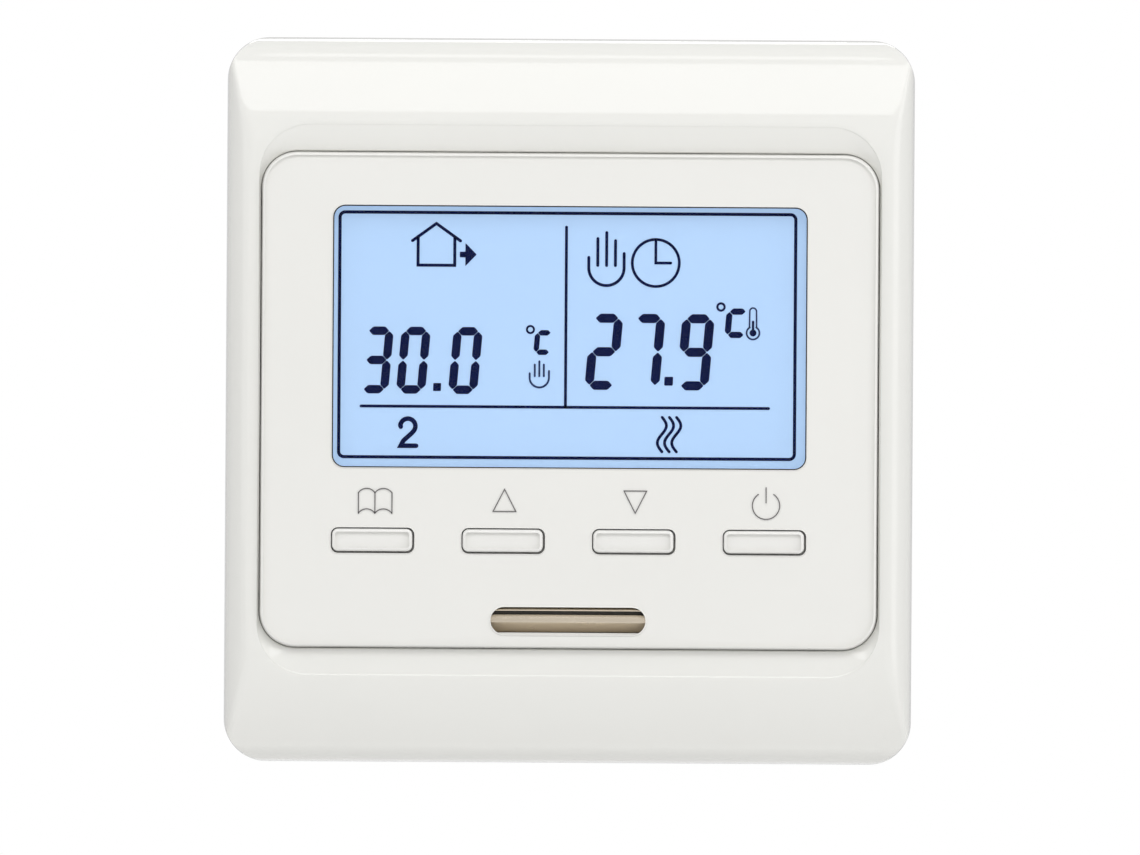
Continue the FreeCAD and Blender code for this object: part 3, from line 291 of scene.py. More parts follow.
def seat(thing, way, distance, aim=Vector((0, 0, 0)), roll=0.0):
    thing.rotation_mode = "QUATERNION"
    thing.location = aim + way * distance
    thing.rotation_quaternion = (-way).to_track_quat("-Z", "Y") @ Quaternion((0, 0, 1), math.radians(roll))
    bpy.context.scene.collection.objects.link(thing)


cameraSeat = {"azimuth": 0.0, "elevation": 0.0, "roll": 0.37, "distance": 1.5, "target": (0.1, 9.0, -3.32),
              "sensor": 36.0, "lens": 379.2, "clip": (0.05, 60)}

cameraData = bpy.data.cameras.new("camera")
cameraData.sensor_width, cameraData.lens = cameraSeat["sensor"], cameraSeat["lens"]
cameraData.clip_start, cameraData.clip_end = cameraSeat["clip"]
camera = bpy.data.objects.new("camera", cameraData)
seat(camera, wayTo(cameraSeat["azimuth"], cameraSeat["elevation"]), cameraSeat["distance"], at(*cameraSeat["target"]),
     cameraSeat["roll"])
bpy.context.scene.camera = camera

studio = {"floorDown": 0.16, "floorSize": 4.6, "floorColour": (0.82, 0.82, 0.82), "sky": 0.695, "ground": 0.56,
          "horizon": (-0.3, 0.5), "backdrop": 1.0}

bm = bmesh.new()
half, low = studio["floorSize"] / 2, -studio["floorDown"]
bm.faces.new([bm.verts.new((x * half, y * half, low)) for x, y in ((-1, -1), (1, -1), (1, 1), (-1, 1))])
floorMesh = bpy.data.meshes.new("floor")
bm.to_mesh(floorMesh)
bm.free()
floorMesh.materials.append(finish("paleFloor", studio["floorColour"], drift=0.01, patch=2, roughness=(0.7, 0.8),
                                  grain=60))
floor = bpy.data.objects.new("floor", floorMesh)
bpy.context.scene.collection.objects.link(floor)

softboxes = {
    "topBox": {"azimuth": 0, "elevation": 41, "distance": 0.75, "wide": 0.9, "tall": 0.33, "power": 2.0},
    "leftBox": {"azimuth": -58, "elevation": 18, "distance": 1.0, "wide": 0.7, "tall": 0.7, "power": 0.65},
    "rightBox": {"azimuth": 62, "elevation": 12, "distance": 1.0, "wide": 0.7, "tall": 0.7, "power": 1.8},
    "rearBox": {"azimuth": 180, "elevation": 35, "distance": 1.0, "wide": 0.8, "tall": 0.6, "power": 2.5},
}
for name, box in softboxes.items():
    data = bpy.data.lights.new(name, "AREA")
    data.shape, data.size, data.size_y, data.energy = "RECTANGLE", box["wide"], box["tall"], box["power"]
    seat(bpy.data.objects.new(name, data), wayTo(box["azimuth"], box["elevation"]), box["distance"])

world = bpy.data.worlds.new("studio")
bpy.context.scene.world = world
world.use_nodes = True
air, wires = world.node_tree.nodes, world.node_tree.links
glow = air["Background"]  # lights the object
seen = air.new("ShaderNodeBackground")  # what the camera sees behind it
seen.inputs["Strength"].default_value = studio["backdrop"]
for light in (glow, seen):
    light.inputs["Color"].default_value = (1, 1, 1, 1)
direction = air.new("ShaderNodeTexCoord")
split = air.new("ShaderNodeSeparateXYZ")
rise = air.new("ShaderNodeMapRange")
rise.inputs["From Min"].default_value, rise.inputs["From Max"].default_value = studio["horizon"]
rise.inputs["To Min"].default_value, rise.inputs["To Max"].default_value = studio["ground"], studio["sky"]
wires.new(direction.outputs["Generated"], split.inputs[0])
wires.new(split.outputs["Z"], rise.inputs["Value"])
wires.new(rise.outputs["Result"], glow.inputs["Strength"])
path = air.new("ShaderNodeLightPath")
choose = air.new("ShaderNodeMixShader")
wires.new(path.outputs["Is Camera Ray"], choose.inputs["Fac"])
wires.new(glow.outputs[0], choose.inputs[1])
wires.new(seen.outputs[0], choose.inputs[2])
wires.new(choose.outputs[0], air["World Output"].inputs["Surface"])
bpy.context.scene.view_settings.view_transform = "Standard"
print("camera, floor and lights placed")


# outer frame: convex bands above and below, ridged rails at the sides, a shallow recess round the panel
frameForm = {"corner": 5.3, "draft": 0.3, "crest": 14.6, "sideWall": 10.2, "sideTurn": 6, "ridgeIn": 2.9,
             "ridgeHold": 2.6, "railCurve": 5.6, "bandWall": 8.6, "shoulderIn": 2.4, "shoulderOut": 11.4,
             "shoulderCurve": 3.2, "bandCurve": 30.0, "gap": 0.25, "panelCorner": 4.3, "blend": 0.7,
             "railFall": 0.2, "railFallWide": 2.5, "railFallIn": (8, 3), "railFallEnd": (27.0, 33.0),
             "recessTall": 3.4, "recessSide": 0.2, "recessCorner": 6.4, "recessDrop": 0.8, "recessSlope": 0.25,
             "recessStep": 0.06, "recessStepEnd": 0.06, "edge": 0.14, "lipFront": 3.1, "lipBack": 1.2,
             "lipReach": 1.5, "rearRoom": 71.8, "channelWide": 78.0, "channelTall": 6.7, "channelUp": 39.6,
             "channelDepth": 7.6, "channelCorner": 1.0, "steps": {"cornerSteps": 16, "sideSteps": 26},
             "crownRings": 32, "crownCrowding": 1.5,
             "recessRings": (0.015, 0.03, 0.045, 0.06, 0.08, 0.15, 0.3, 0.45, 0.6, 0.75, 0.88, 0.96, 1.0)}


def arcHeight(a, start, end, radius):  # height of an arc that bulges outwards between two points
    (a0, h0), (a1, h1) = start, end
    chord = Vector((a1 - a0, h1 - h0))
    reach = math.sqrt(radius ** 2 - (chord.length / 2) ** 2)
    normal = Vector((chord.y, -chord.x)).normalized()
    if normal.y > 0:
        normal = -normal
    centre = Vector(((a0 + a1) / 2, (h0 + h1) / 2)) + normal * reach
    return centre.y + math.sqrt(max(radius ** 2 - (a - centre.x) ** 2, 0))


def softLeast(a, b, blend):
    share = max(blend - abs(a - b), 0) / blend
    return min(a, b) - share * share * blend / 4


def smoothStep(value, start, end):
    t = min(max((value - start) / (end - start), 0), 1)
    return t * t * (3 - 2 * t)


def frameHeight(x, z, form, halfWide, halfTall, openTall):
    across, up = abs(x), abs(z)
    ridge = halfWide - form["ridgeIn"]
    start, end = (halfWide - form["draft"], form["sideWall"]), (ridge, form["crest"])
    side = arcHeight(max(across, ridge - form["ridgeHold"]), start, end, form["railCurve"])
    shoulder = (halfTall - form["shoulderIn"], form["shoulderOut"])
    if up > shoulder[0]:
        band = arcHeight(up, (halfTall - form["draft"], form["bandWall"]), shoulder, form["shoulderCurve"])
    else:
        band = arcHeight(max(up, openTall), shoulder, (openTall, form["crest"]), form["bandCurve"])
    near, far = (ridge - away for away in form["railFallIn"])
    inner = min(max(ridge - across, 0), form["railFallWide"]) * smoothStep(across, near, far)
    fall = form["railFall"] * inner * (1 - smoothStep(up, *form["railFallEnd"]))
    return softLeast(side, band, form["blend"]) - fall


def makeFrame(form):
    whole, panel = sidesOf("outer_frame"), sidesOf("front_panel")
    halfWide, halfTall = whole["wide"] / 2, whole["tall"] / 2
    openWide, openTall = panel["wide"] + 2 * form["gap"], panel["tall"] + 2 * form["gap"]
    corner = form["panelCorner"] + form["gap"]
    steps, draft, reach = form["steps"], form["draft"], form["lipReach"]

    def height(x, z):
        return frameHeight(x, z, form, halfWide, halfTall, openTall / 2)

    outer = roundLoop(whole["wide"], whole["tall"], form["corner"], **steps)
    rim = roundLoop(whole["wide"] - 2 * draft, whole["tall"] - 2 * draft, form["corner"] - draft, **steps)
    recessWide, recessTall = openWide + 2 * form["recessSide"], openTall + 2 * form["recessTall"]
    recess = roundLoop(recessWide, recessTall, form["recessCorner"], **steps)
    opening = roundLoop(openWide, openTall, corner, **steps)
    lip = roundLoop(openWide - 2 * reach, openTall - 2 * reach, corner - reach, **steps)
    room = roundLoop(openWide - 2 * reach, form["rearRoom"], corner - reach, **steps)
    loops = [level(outer, 0)]
    loops.append([at(x, min(height(x, z), form["sideTurn"]), z) for x, z in outer])
    for k in range(form["crownRings"] + 1):  # from the rim in to the recess
        t = (k / form["crownRings"]) ** form["crownCrowding"]
        spots = [(x0 + (x1 - x0) * t, z0 + (z1 - z0) * t) for (x0, z0), (x1, z1) in zip(rim, recess)]
        loops.append([at(x, height(x, z), z) for x, z in spots])
    for t in form["recessRings"]:  # down the recess to the panel's edge
        ring = []
        for (x0, z0), (x1, z1) in zip(recess, opening):
            x, z = x0 + (x1 - x0) * t, z0 + (z1 - z0) * t
            drop = min(form["recessDrop"], form["recessSlope"] * math.hypot(x1 - x0, z1 - z0)) * t
            drop += form["recessStep"] * smoothStep(t, 0, form["recessStepEnd"])
            ring.append(at(x, height(x, z) - drop - (form["edge"] if t == 1.0 else 0), z))
        loops.append(ring)
    loops += [level(opening, form["lipFront"]), level(lip, form["lipFront"]), level(lip, form["lipBack"]),
              level(room, form["lipBack"]), level(room, 0)]
    bm = bmesh.new()
    rings = skin(bm, loops)
    rear = [rings[0], rings[-1]]
    for side in (-1, 1):  # hollow bands behind the top and the bottom
        middle = (0, side * form["channelUp"])
        channel = roundLoop(form["channelWide"], form["channelTall"], form["channelCorner"], middle)
        cup = skin(bm, [level(channel, 0), level(channel, form["channelDepth"])])
        bm.faces.new(cup[1])
        rear.append(cup[0])
    fillFlat(bm, rear)
    piece(bm, "frame_shell", finishes["frame_plastic"], "frame", ["outer_frame"], sharp=40,
          weighted=False)


makeFrame(frameForm)
print("outer frame made")


# front panel with its window, key openings and slot
panelForm = {"corner": 4.3, "leastCorner": 0.3, "edge": 0.32, "skirtReach": 0.17, "skirtFront": 13.3,
             "skirtStep": 0.05, "skin": 1.8, "windowWide": 59.1, "windowTall": 32.7, "windowCorner": 1.55,
             "windowEdge": 0.12, "keyGap": 0.2, "keyCorner": 0.9, "keyEdge": 0.12, "slotWide": 19.3,
             "slotTall": 3.4, "slotEdge": 0.18, "rebate": 1.4, "rebateCorner": 0.3, "bossRadius": 2.2,
             "bossInset": 3.5, "bossSink": 0.1, "outlineSteps": 14, "edgeSteps": 7,
             "holeSteps": 8, "holeEdgeSteps": 4}
keyForm = {"wide": 10.0, "tall": 2.8, "aside": -0.06, "rise": 0.04, "corner": 0.75, "leastCorner": 0.12, "edge": 0.4,
           "edgeSteps": 8, "flangeReach": 0.8, "flangeDepth": 0.8, "flangeFront": 13.0, "stemBack": 9.9}
keyNames = ["menu", "up", "down", "power"]


def makePanel(form):
    box, window, slot = sidesOf("front_panel"), sidesOf("window_lens"), sidesOf("trim_bar")
    front, back, ceiling = box["front"], box["back"], box["front"] - form["skin"]
    steps = form["holeSteps"]
    bm = bmesh.new()

    def outline(inset, out):
        corner = max(form["corner"] - inset, form["leastCorner"])
        wide, tall = box["wide"] - 2 * inset, box["tall"] - 2 * inset
        return level(roundLoop(wide, tall, corner, cornerSteps=form["outlineSteps"]), out)

    loops = [outline(drop, front - inset) for inset, drop in reversed(edgeArc(form["edge"], form["edgeSteps"]))]
    reach, skirt = -form["skirtReach"], form["skirtFront"]
    loops += [outline(0, skirt + form["skirtStep"]), outline(reach, skirt), outline(reach, back)]
    loops += [outline(form["skin"], back), outline(form["skin"], ceiling)]
    rings = skin(bm, loops)
    tops, floors = [rings[0]], [rings[-1]]

    def hole(wide, tall, corner, middle, edge, below=()):
        def loop(grow, out):
            return level(roundLoop(wide + 2 * grow, tall + 2 * grow, corner + grow, middle, steps), out)

        rows = reversed(edgeArc(edge, form["holeEdgeSteps"]))
        stack = [loop(edge - inset, front - drop) for drop, inset in rows]
        stack += list(below) or [loop(0, ceiling)]
        ringSet = skin(bm, stack)
        tops.append(ringSet[0])
        floors.append(ringSet[-1])

    middle = (0, window["up"])
    wide, tall, corner = form["windowWide"], form["windowTall"], form["windowCorner"]
    ledge = level(roundLoop(wide, tall, corner, middle, steps), window["front"])
    wider = roundLoop(wide + 2 * form["rebate"], tall + 2 * form["rebate"], form["rebateCorner"], middle, steps)
    below = [ledge, level(wider, window["front"]), level(wider, ceiling)]
    hole(wide, tall, corner, middle, form["windowEdge"], below)
    for key in keyNames:
        cap = sidesOf(f"key_{key}")
        grow = 2 * form["keyGap"]
        hole(keyForm["wide"] + grow, keyForm["tall"] + grow, form["keyCorner"], (cap["across"], cap["up"]),
             form["keyEdge"])
    hole(form["slotWide"], form["slotTall"], form["slotTall"] / 2 - hair, (0, slot["up"]), form["slotEdge"])
    fillFlat(bm, tops)
    fillFlat(bm, floors)
    size = 2 * form["bossRadius"]
    for sx in (-1, 1):  # corner bosses that the rear screws bite into
        for sz in (-1, 1):
            place = (sx * (box["wide"] / 2 - form["bossInset"]), sz * (box["tall"] / 2 - form["bossInset"]))
            boss = roundLoop(size, size, size / 2 - hair, place)
            solid(bm, [level(boss, back), level(boss, ceiling + form["bossSink"])])
    piece(bm, "panel_shell", finishes["panel_plastic"], "front_module", ["front_panel"])


makePanel(panelForm)
print("front panel made")


def makeKey(key, form):
    box = sidesOf(f"key_{key}")
    middle, front = (box["across"] + form["aside"], box["up"] + form["rise"]), box["front"]

    def loop(inset, out):
        corner = max(form["corner"] - inset, form["leastCorner"])
        return level(roundLoop(form["wide"] - 2 * inset, form["tall"] - 2 * inset, corner, middle, 8), out)

    reach, top, under = form["flangeReach"], form["flangeFront"], form["flangeFront"] - form["flangeDepth"]
    loops = [loop(0, form["stemBack"]), loop(0, under), loop(-reach, under), loop(-reach, top), loop(0, top)]
    loops += [loop(inset, front - drop) for drop, inset in edgeArc(form["edge"], form["edgeSteps"])]
    bm = bmesh.new()
    solid(bm, loops)
    piece(bm, f"key_{key}_cap", finishes["key_plastic"], f"key_{key}_body", [f"key_{key}"])


for key in keyNames:
    makeKey(key, keyForm)
print("keys made:", len(keyNames))


# window, a thin dark ring of painted shade just inside its edge, and the display glass
windowForm = {"lensCorner": 0.4, "lensEdge": 0.1, "shadeUnder": 0.2, "shadeWide": 0.15, "shadeDepth": 0.02,
              "glassCorner": 0.3, "glassEdge": 0.08, "contactLedge": 2.9}


def makeWindow(form):
    lens, glass = sidesOf("window_lens"), sidesOf("lcd_glass")
    middle, front = (0, lens["up"]), lens["front"]
    bm = bmesh.new()
    softBlock(bm, lens["wide"], lens["tall"], form["lensCorner"], lens["back"], front, form["lensEdge"], middle)
    piece(bm, "window_clear", finishes["clear_lens"], "front_module", ["window_lens"])
    # painted shade: a thin dark ring on the lens, just inside the window's edge, stands in for the shade there
    bm = bmesh.new()
    wide, tall, corner = panelForm["windowWide"], panelForm["windowTall"], panelForm["windowCorner"]
    under, inset, top = form["shadeUnder"], form["shadeWide"], front + form["shadeDepth"]
    outer = roundLoop(wide + 2 * under, tall + 2 * under, corner + under, middle)
    inner = roundLoop(wide - 2 * inset, tall - 2 * inset, corner - inset, middle)
    skin(bm, [level(outer, front), level(outer, top), level(inner, top), level(inner, front)], closed=True)
    piece(bm, "window_painted_shade_ring", gapShade, "front_module")
    bm = bmesh.new()
    halfway, ledge = (glass["back"] + glass["front"]) / 2, form["contactLedge"]
    for tall, back, out, place in (  # the front sheet, and the shorter one behind it
            (glass["tall"], halfway, glass["front"], (glass["across"], glass["up"])),
            (glass["tall"] - ledge, glass["back"], halfway, (0, glass["up"] + ledge / 2))):
        softBlock(bm, glass["wide"], tall, form["glassCorner"], back, out, form["glassEdge"], place)
    piece(bm, "display_glass", finishes["lcd_glass"], "front_module", ["lcd_glass"])
    return glass["front"]


displayFront = makeWindow(windowForm)
print("window and display glass made")


# what the display shows, and the marks printed over the keys: thin strokes and shapes
strokeForm = {"roundEnd": (0.15, 0.5, 0.85), "mitre": 0.5, "cornerShare": 0.45, "cornerStops": (0, 0.33, 0.67, 1)}


def stroke(bm, points, width, out, thick, closed=False):
    points = [Vector(p) for p in points]
    rows, count, r = [], len(points), width / 2
    tips = [(math.cos(a * quarter), math.sin(a * quarter)) for a in strokeForm["roundEnd"]]

    def row(point, side, halfWidth):
        a, b = point + side * halfWidth, point - side * halfWidth
        return [at(a.x, out, a.y), at(b.x, out, b.y), at(b.x, out + thick, b.y), at(a.x, out + thick, a.y)]

    for i, point in enumerate(points):
        before = points[i - 1] if i or closed else None
        after = points[(i + 1) % count] if i < count - 1 or closed else None
        ways = [(point - before).normalized()] if before is not None else []
        ways += [(after - point).normalized()] if after is not None else []
        run = sum(ways, Vector((0, 0))).normalized()
        side = Vector((-run.y, run.x))
        stretch = 1 / max(abs(side.dot(Vector((-ways[0].y, ways[0].x)))), strokeForm["mitre"])
        if before is None:  # a round start
            rows += [row(point - run * r * along, side, r * share) for along, share in tips]
        rows.append(row(point, side, r * stretch))
        if after is None:
            rows += [row(point + run * r * along, side, r * share) for along, share in reversed(tips)]
    rings = skin(bm, rows, closed=closed)
    if not closed:
        bm.faces.new(rings[0])
        bm.faces.new(rings[-1])


def plate(bm, outline, out, thick, corner=0.0):
    points, share = [], strokeForm["cornerShare"]
    for i, p in enumerate(outline):
        here, before, after = Vector(p), Vector(outline[i - 1]), Vector(outline[(i + 1) % len(outline)])
        if corner <= 0:
            points.append(p)
            continue
        start = here + (before - here).normalized() * min(corner, (before - here).length * share)
        end = here + (after - here).normalized() * min(corner, (after - here).length * share)
        for t in strokeForm["cornerStops"]:
            q = start * (1 - t) ** 2 + here * 2 * t * (1 - t) + end * t * t
            points.append((q.x, q.y))
    solid(bm, [level(points, out), level(points, out + thick)])


def arc(centre, radius, start, end, steps=24):
    turns = [math.radians(start + (end - start) * i / steps) for i in range(steps + 1)]
    return [(centre[0] + radius * math.cos(a), centre[1] + radius * math.sin(a)) for a in turns]


def ringOf(centre, radius, steps=40):
    return arc(centre, radius, 0, 360, steps)[:-1]


segmentsOf = {"0": "abcdef", "2": "abged", "3": "abgcd", "7": "abc", "9": "abcdfg", "C": "afed"}


def digit(bm, figure, left, low, form, out, thick):
    wide, tall, bar, gap, lean = form["wide"], form["tall"], form["bar"], form["gap"], form["lean"]
    mid, h = tall / 2, bar / 2

    def across(z):  # a level bar with pointed ends
        x0, x1 = h + gap, wide - h - gap
        return [(x0, z), (x0 + h, z - h), (x1 - h, z - h), (x1, z), (x1 - h, z + h), (x0 + h, z + h)]

    def upright(x, z0, z1):
        return [(x, z0), (x + h, z0 + h), (x + h, z1 - h), (x, z1), (x - h, z1 - h), (x - h, z0 + h)]

    bars = {"a": across(tall - h), "g": across(mid), "d": across(h),
            "b": upright(wide - h, mid + gap, tall - h - gap), "c": upright(wide - h, h + gap, mid - gap),
            "f": upright(h, mid + gap, tall - h - gap), "e": upright(h, h + gap, mid - gap)}
    if figure == "C" and form.get("joined"):  # one long upright
        bars["f"], bars["e"] = upright(h, h + gap, tall - h - gap), None
    for name in segmentsOf[figure]:
        if bars[name]:
            plate(bm, [(left + x + lean * z, low + z) for x, z in bars[name]], out, thick, form["soft"])


def hand(bm, form, out, thick):
    (x, z), radius, (left, right) = form["centre"], form["radius"], form["sides"]
    for aside, (low, high) in form["fingers"].items():
        stroke(bm, [(x + aside, low), (x + aside, high)], form["line"], out, thick)
    cup = [(x - radius, left)] + arc((x, z), radius, 180, 360) + [(x + radius, right)]
    stroke(bm, cup, form["line"], out, thick)


def inked(bm, name, ink, aside):
    bmesh.ops.translate(bm, vec=at(aside, 0, 0), verts=bm.verts)
    piece(bm, name, ink, "front_module", weighted=False)


displayForm = {
    "thick": 0.02, "lift": 0.01, "aside": 0.13,
    "border": {"wide": 56.8, "tall": 30.5, "corner": 0.65, "middle": (-0.45, 8.12), "line": 0.4},
    "lines": [  # width of the line, and what it runs through
        (0.36, [(-0.62, 21.65), (-0.62, -0.8)]),  # upright divider
        (0.36, [(-26.1, -0.8), (24.7, -0.8)]),  # level divider
        (0.38, [(-19.8, 19.85), (-16.83, 22.0), (-13.82, 19.85)]),  # roof of the house
        (0.38, [(-19.1, 20.2), (-19.1, 16.8), (-14.53, 16.8), (-14.53, 20.2)]),  # its walls
        (0.35, [(10.53, 20.1), (10.53, 17.25), (12.4, 17.25)]),  # hands of the clock
        (0.3, [(22.7, 8.7), (22.7, 10.0)]),  # filling of the thermometer
    ],
    "rings": [  # width of the line, centre, radius and how many points
        (0.35, (10.53, 17.25), 2.93, 56),  # clock
        (0.26, (-5.04, 8.86), 0.44, 24), (0.28, (18.69, 11.82), 0.45, 24),  # degree signs
    ],
    "plates": [  # softness of the corners, and the outline
        (0.1, [(-13.9, 17.8), (-13.2, 17.8), (-13.2, 16.7), (-11.8, 18.16), (-13.2, 19.6), (-13.2, 18.5),
               (-13.9, 18.5)]),  # arrow
        (0.12, [(-17.14, 1.12), (-16.16, 1.12), (-16.12, 2.12), (-17.1, 2.12)]),  # decimal points
        (0.14, [(11.66, 1.98), (12.74, 1.98), (12.79, 3.08), (11.71, 3.08)]),
    ],
    "figures": [("3", -26.39, "setpoint"), ("0", -21.78, "setpoint"), ("0", -15.3, "setpoint"), ("2", 1.7, "room"),
                ("7", 6.97, "room"), ("9", 13.1, "room"), ("C", -4.7, "smallDegree"), ("C", 19.1, "largeDegree")],
    "setpoint": {"wide": 3.65, "tall": 8.35, "bar": 1.06, "gap": 0.025, "lean": 0.086, "soft": 0.16, "low": 0.77},
    "room": {"wide": 4.05, "tall": 9.5, "bar": 1.14, "gap": 0.03, "lean": 0.086, "soft": 0.18, "low": 1.4},
    "smallDegree": {"wide": 2.32, "tall": 3.1, "bar": 0.68, "gap": 0.03, "lean": 0.086, "soft": 0.1, "low": 5.7,
                    "joined": True},
    "largeDegree": {"wide": 2.82, "tall": 3.69, "bar": 0.78, "gap": 0.04, "lean": 0.086, "soft": 0.12, "low": 7.96,
                    "joined": True},
    "hand": {"centre": (4.38, 16.6), "radius": 2.2, "sides": (17.9, 18.4), "line": 0.37,
             "fingers": {-1.08: (16.9, 20.25), 0.02: (16.9, 21.0), 1.12: (16.9, 20.0)}},
    "smallHand": {"centre": (-3.9, 2.85), "radius": 1.2, "sides": (3.4, 3.7), "line": 0.25,
                  "fingers": {-0.57: (3.05, 4.5), 0.0: (3.05, 4.9), 0.56: (3.05, 4.5)}},
    "programme": {"start": (-21.12, -3.35), "centre": (-20.24, -3.28), "radius": 0.94, "turn": (172, -36),
                  "tail": [(-19.75, -4.15), (-20.8, -5.1), (-21.12, -5.72), (-19.2, -5.72)], "line": 0.58},
    "waves": {"count": 3, "left": 11.42, "pitch": 0.9, "swing": 0.56, "phase": 0.05, "top": -1.98, "tall": 4.3,
              "steps": 24, "line": 0.36},
    "thermometer": {"bulb": (22.7, 8.6), "filled": 0.43, "filledLift": 0.005, "glass": 0.8, "glassTurn": (120, 420),
                    "glassLine": 0.22, "feet": ((22.26, 9.3), (23.14, 9.3)), "top": (22.7, 11.3), "bore": 0.42,
                    "tubeLine": 0.2},
}


def makeFigures(form, front):
    out, thick = front + form["lift"], form["thick"]
    border, two, heat, warmth = form["border"], form["programme"], form["waves"], form["thermometer"]
    bm = bmesh.new()
    outline = roundLoop(border["wide"], border["tall"], border["corner"], border["middle"])
    stroke(bm, outline, border["line"], out, thick, closed=True)
    for line, points in form["lines"]:
        stroke(bm, points, line, out, thick)
    for line, centre, radius, count in form["rings"]:
        stroke(bm, ringOf(centre, radius, count), line, out, thick, closed=True)
    for soft, points in form["plates"]:
        plate(bm, points, out, thick, soft)
    for figure, left, size in form["figures"]:
        digit(bm, figure, left, form[size]["low"], form[size], out, thick)
    hand(bm, form["hand"], out, thick)
    bend = arc(two["centre"], two["radius"], *two["turn"], 20)
    stroke(bm, [two["start"]] + bend + two["tail"], two["line"], out, thick)
    for k in range(heat["count"]):
        left, steps = heat["left"] + heat["pitch"] * k, heat["steps"]
        wave = [(left + heat["swing"] * math.sin(2 * math.pi * t / steps + heat["phase"]),
                 heat["top"] - heat["tall"] * t / steps) for t in range(steps + 1)]
        stroke(bm, wave, heat["line"], out, thick)
    plate(bm, ringOf(warmth["bulb"], warmth["filled"], 20), out, thick + warmth["filledLift"])
    inked(bm, "display_figures", segmentInk, form["aside"])
    bm = bmesh.new()
    hand(bm, form["smallHand"], out, thick)
    foot, otherFoot = warmth["feet"]
    tube = [foot] + arc(warmth["top"], warmth["bore"], 180, 0, 12) + [otherFoot]
    stroke(bm, tube, warmth["tubeLine"], out, thick)
    glass = arc(warmth["bulb"], warmth["glass"], *warmth["glassTurn"], 30)
    stroke(bm, glass, warmth["glassLine"], out, thick)
    inked(bm, "display_fine_marks", faintInk, form["aside"])


makeFigures(displayForm, displayFront)

markForm = {"aside": 0.13, "line": 0.125, "thick": 0.012, "sink": 0.004,
            "book": {"edges": (-26.3, -24.24, -22.12), "peaks": (-11.05, -13.6), "sag": 0.55,
                     "upright": (-11.58, -14.17)},
            "arrows": [[(-9.54, -13.82), (-6.7, -13.82), (-8.12, -11.05)],
                       [(6.74, -11.17), (9.56, -11.17), (8.15, -13.95)]],
            "power": {"centre": (24.42, -12.9), "radius": 1.7, "gap": 34, "upright": (-10.66, -12.54)}}


def makeMarks(form):
    out, thick, line = sidesOf("front_panel")["front"] - form["sink"], form["thick"], form["line"]
    book, power = form["book"], form["power"]
    bm = bmesh.new()
    for left, right in zip(book["edges"], book["edges"][1:]):  # an open book
        half, sag = (right - left) / 2, book["sag"]
        radius = (half * half + sag * sag) / (2 * sag)
        swing = math.degrees(math.asin(half / radius))
        for peak in book["peaks"]:
            stroke(bm, arc(((left + right) / 2, peak - radius), radius, 90 + swing, 90 - swing, 16), line, out, thick)
    for x in book["edges"]:
        stroke(bm, [(x, z) for z in book["upright"]], line, out, thick)
    for points in form["arrows"]:
        stroke(bm, points, line, out, thick, closed=True)
    stroke(bm, arc(power["centre"], power["radius"], 90 + power["gap"], 450 - power["gap"], 40), line, out, thick)
    stroke(bm, [(power["centre"][0], z) for z in power["upright"]], line, out, thick)
    inked(bm, "panel_marks", printInk, form["aside"])


makeMarks(markForm)
print("display figures and printed marks made")


# trim bar behind the slot, with dark strips of painted shade in its groove and under it
barForm = {"long": 22.0, "profile": [
    (11.0, 2.0), (12.5, 2.0), (12.78, 1.7), (12.9, 1.32), (12.86, 1.22), (12.7, 1.17), (10.6, 1.1), (10.6, 0.86),
    (12.5, 0.8), (12.85, 0.74), (12.95, 0.6), (13.0, 0.3), (13.02, 0.0), (13.0, -0.25), (12.88, -0.38),
    (12.4, -0.72), (11.7, -1.15), (10.9, -1.55), (10.4, -2.0)],
    "shade": {"short": 0.4, "corner": 0.05, "edge": 0.04,
              "rows": [(0.42, 12.72, 10.6, 0.99), (0.5, 11.6, 10.4, -1.84)]},  # tall, front, back and up
    "foot": {"wide": 2.0, "tall": 2.8, "corner": 0.2, "edge": 0.1, "front": 11.1, "aside": 10.0}}


def makeBar(form):
    box, dark, foot = sidesOf("trim_bar"), form["shade"], form["foot"]
    bm = bmesh.new()
    half, steps = form["long"] / 2, 12
    solid(bm, [[at(half * (2 * i / steps - 1), out, box["up"] + up) for out, up in form["profile"]]
               for i in range(steps + 1)])
    bmesh.ops.recalc_face_normals(bm, faces=bm.faces)
    shade = bmesh.new()  # painted shade: a dark strip filling the groove over the bar and a dark line under it
    for tall, front, back, up in dark["rows"]:
        softBlock(shade, form["long"] - dark["short"], tall, dark["corner"], back, front, dark["edge"],
                  (0, box["up"] + up))
    piece(shade, "trim_bar_shade", gapShade, "front_module")
    for side in (-1, 1):  # feet down to the board
        softBlock(bm, foot["wide"], foot["tall"], foot["corner"], box["back"], foot["front"], foot["edge"],
                  (side * foot["aside"], box["up"]))
    piece(bm, "trim_bar_bright", finishes["nickel_bar"], "front_module", ["trim_bar"], sharp=28)


makeBar(barForm)
print("trim bar made")


# mounting screws: a threaded shank by nodes, a countersunk head with a cross recess
screwForm = {"radius": 1.75, "core": 1.36, "pitch": 0.57, "threadTop": -0.4, "around": 32, "along": 256,
             "crestGain": 1.25, "crestSoft": 0.25, "neck": 1.55, "neckTip": 0.9, "neckStart": 0.2, "neckEase": 0.1,
             "fillet": 0.12, "head": 3.0, "land": 0.3, "landEase": (0.06, 0.03), "topEase": 0.08, "recess": 1.1,
             "cross": 1.55, "crossWide": 0.62, "crossFoot": (0.55, 0.8), "crossCorner": 0.08, "crossOver": 0.02,
             "crossStagger": 0.001}


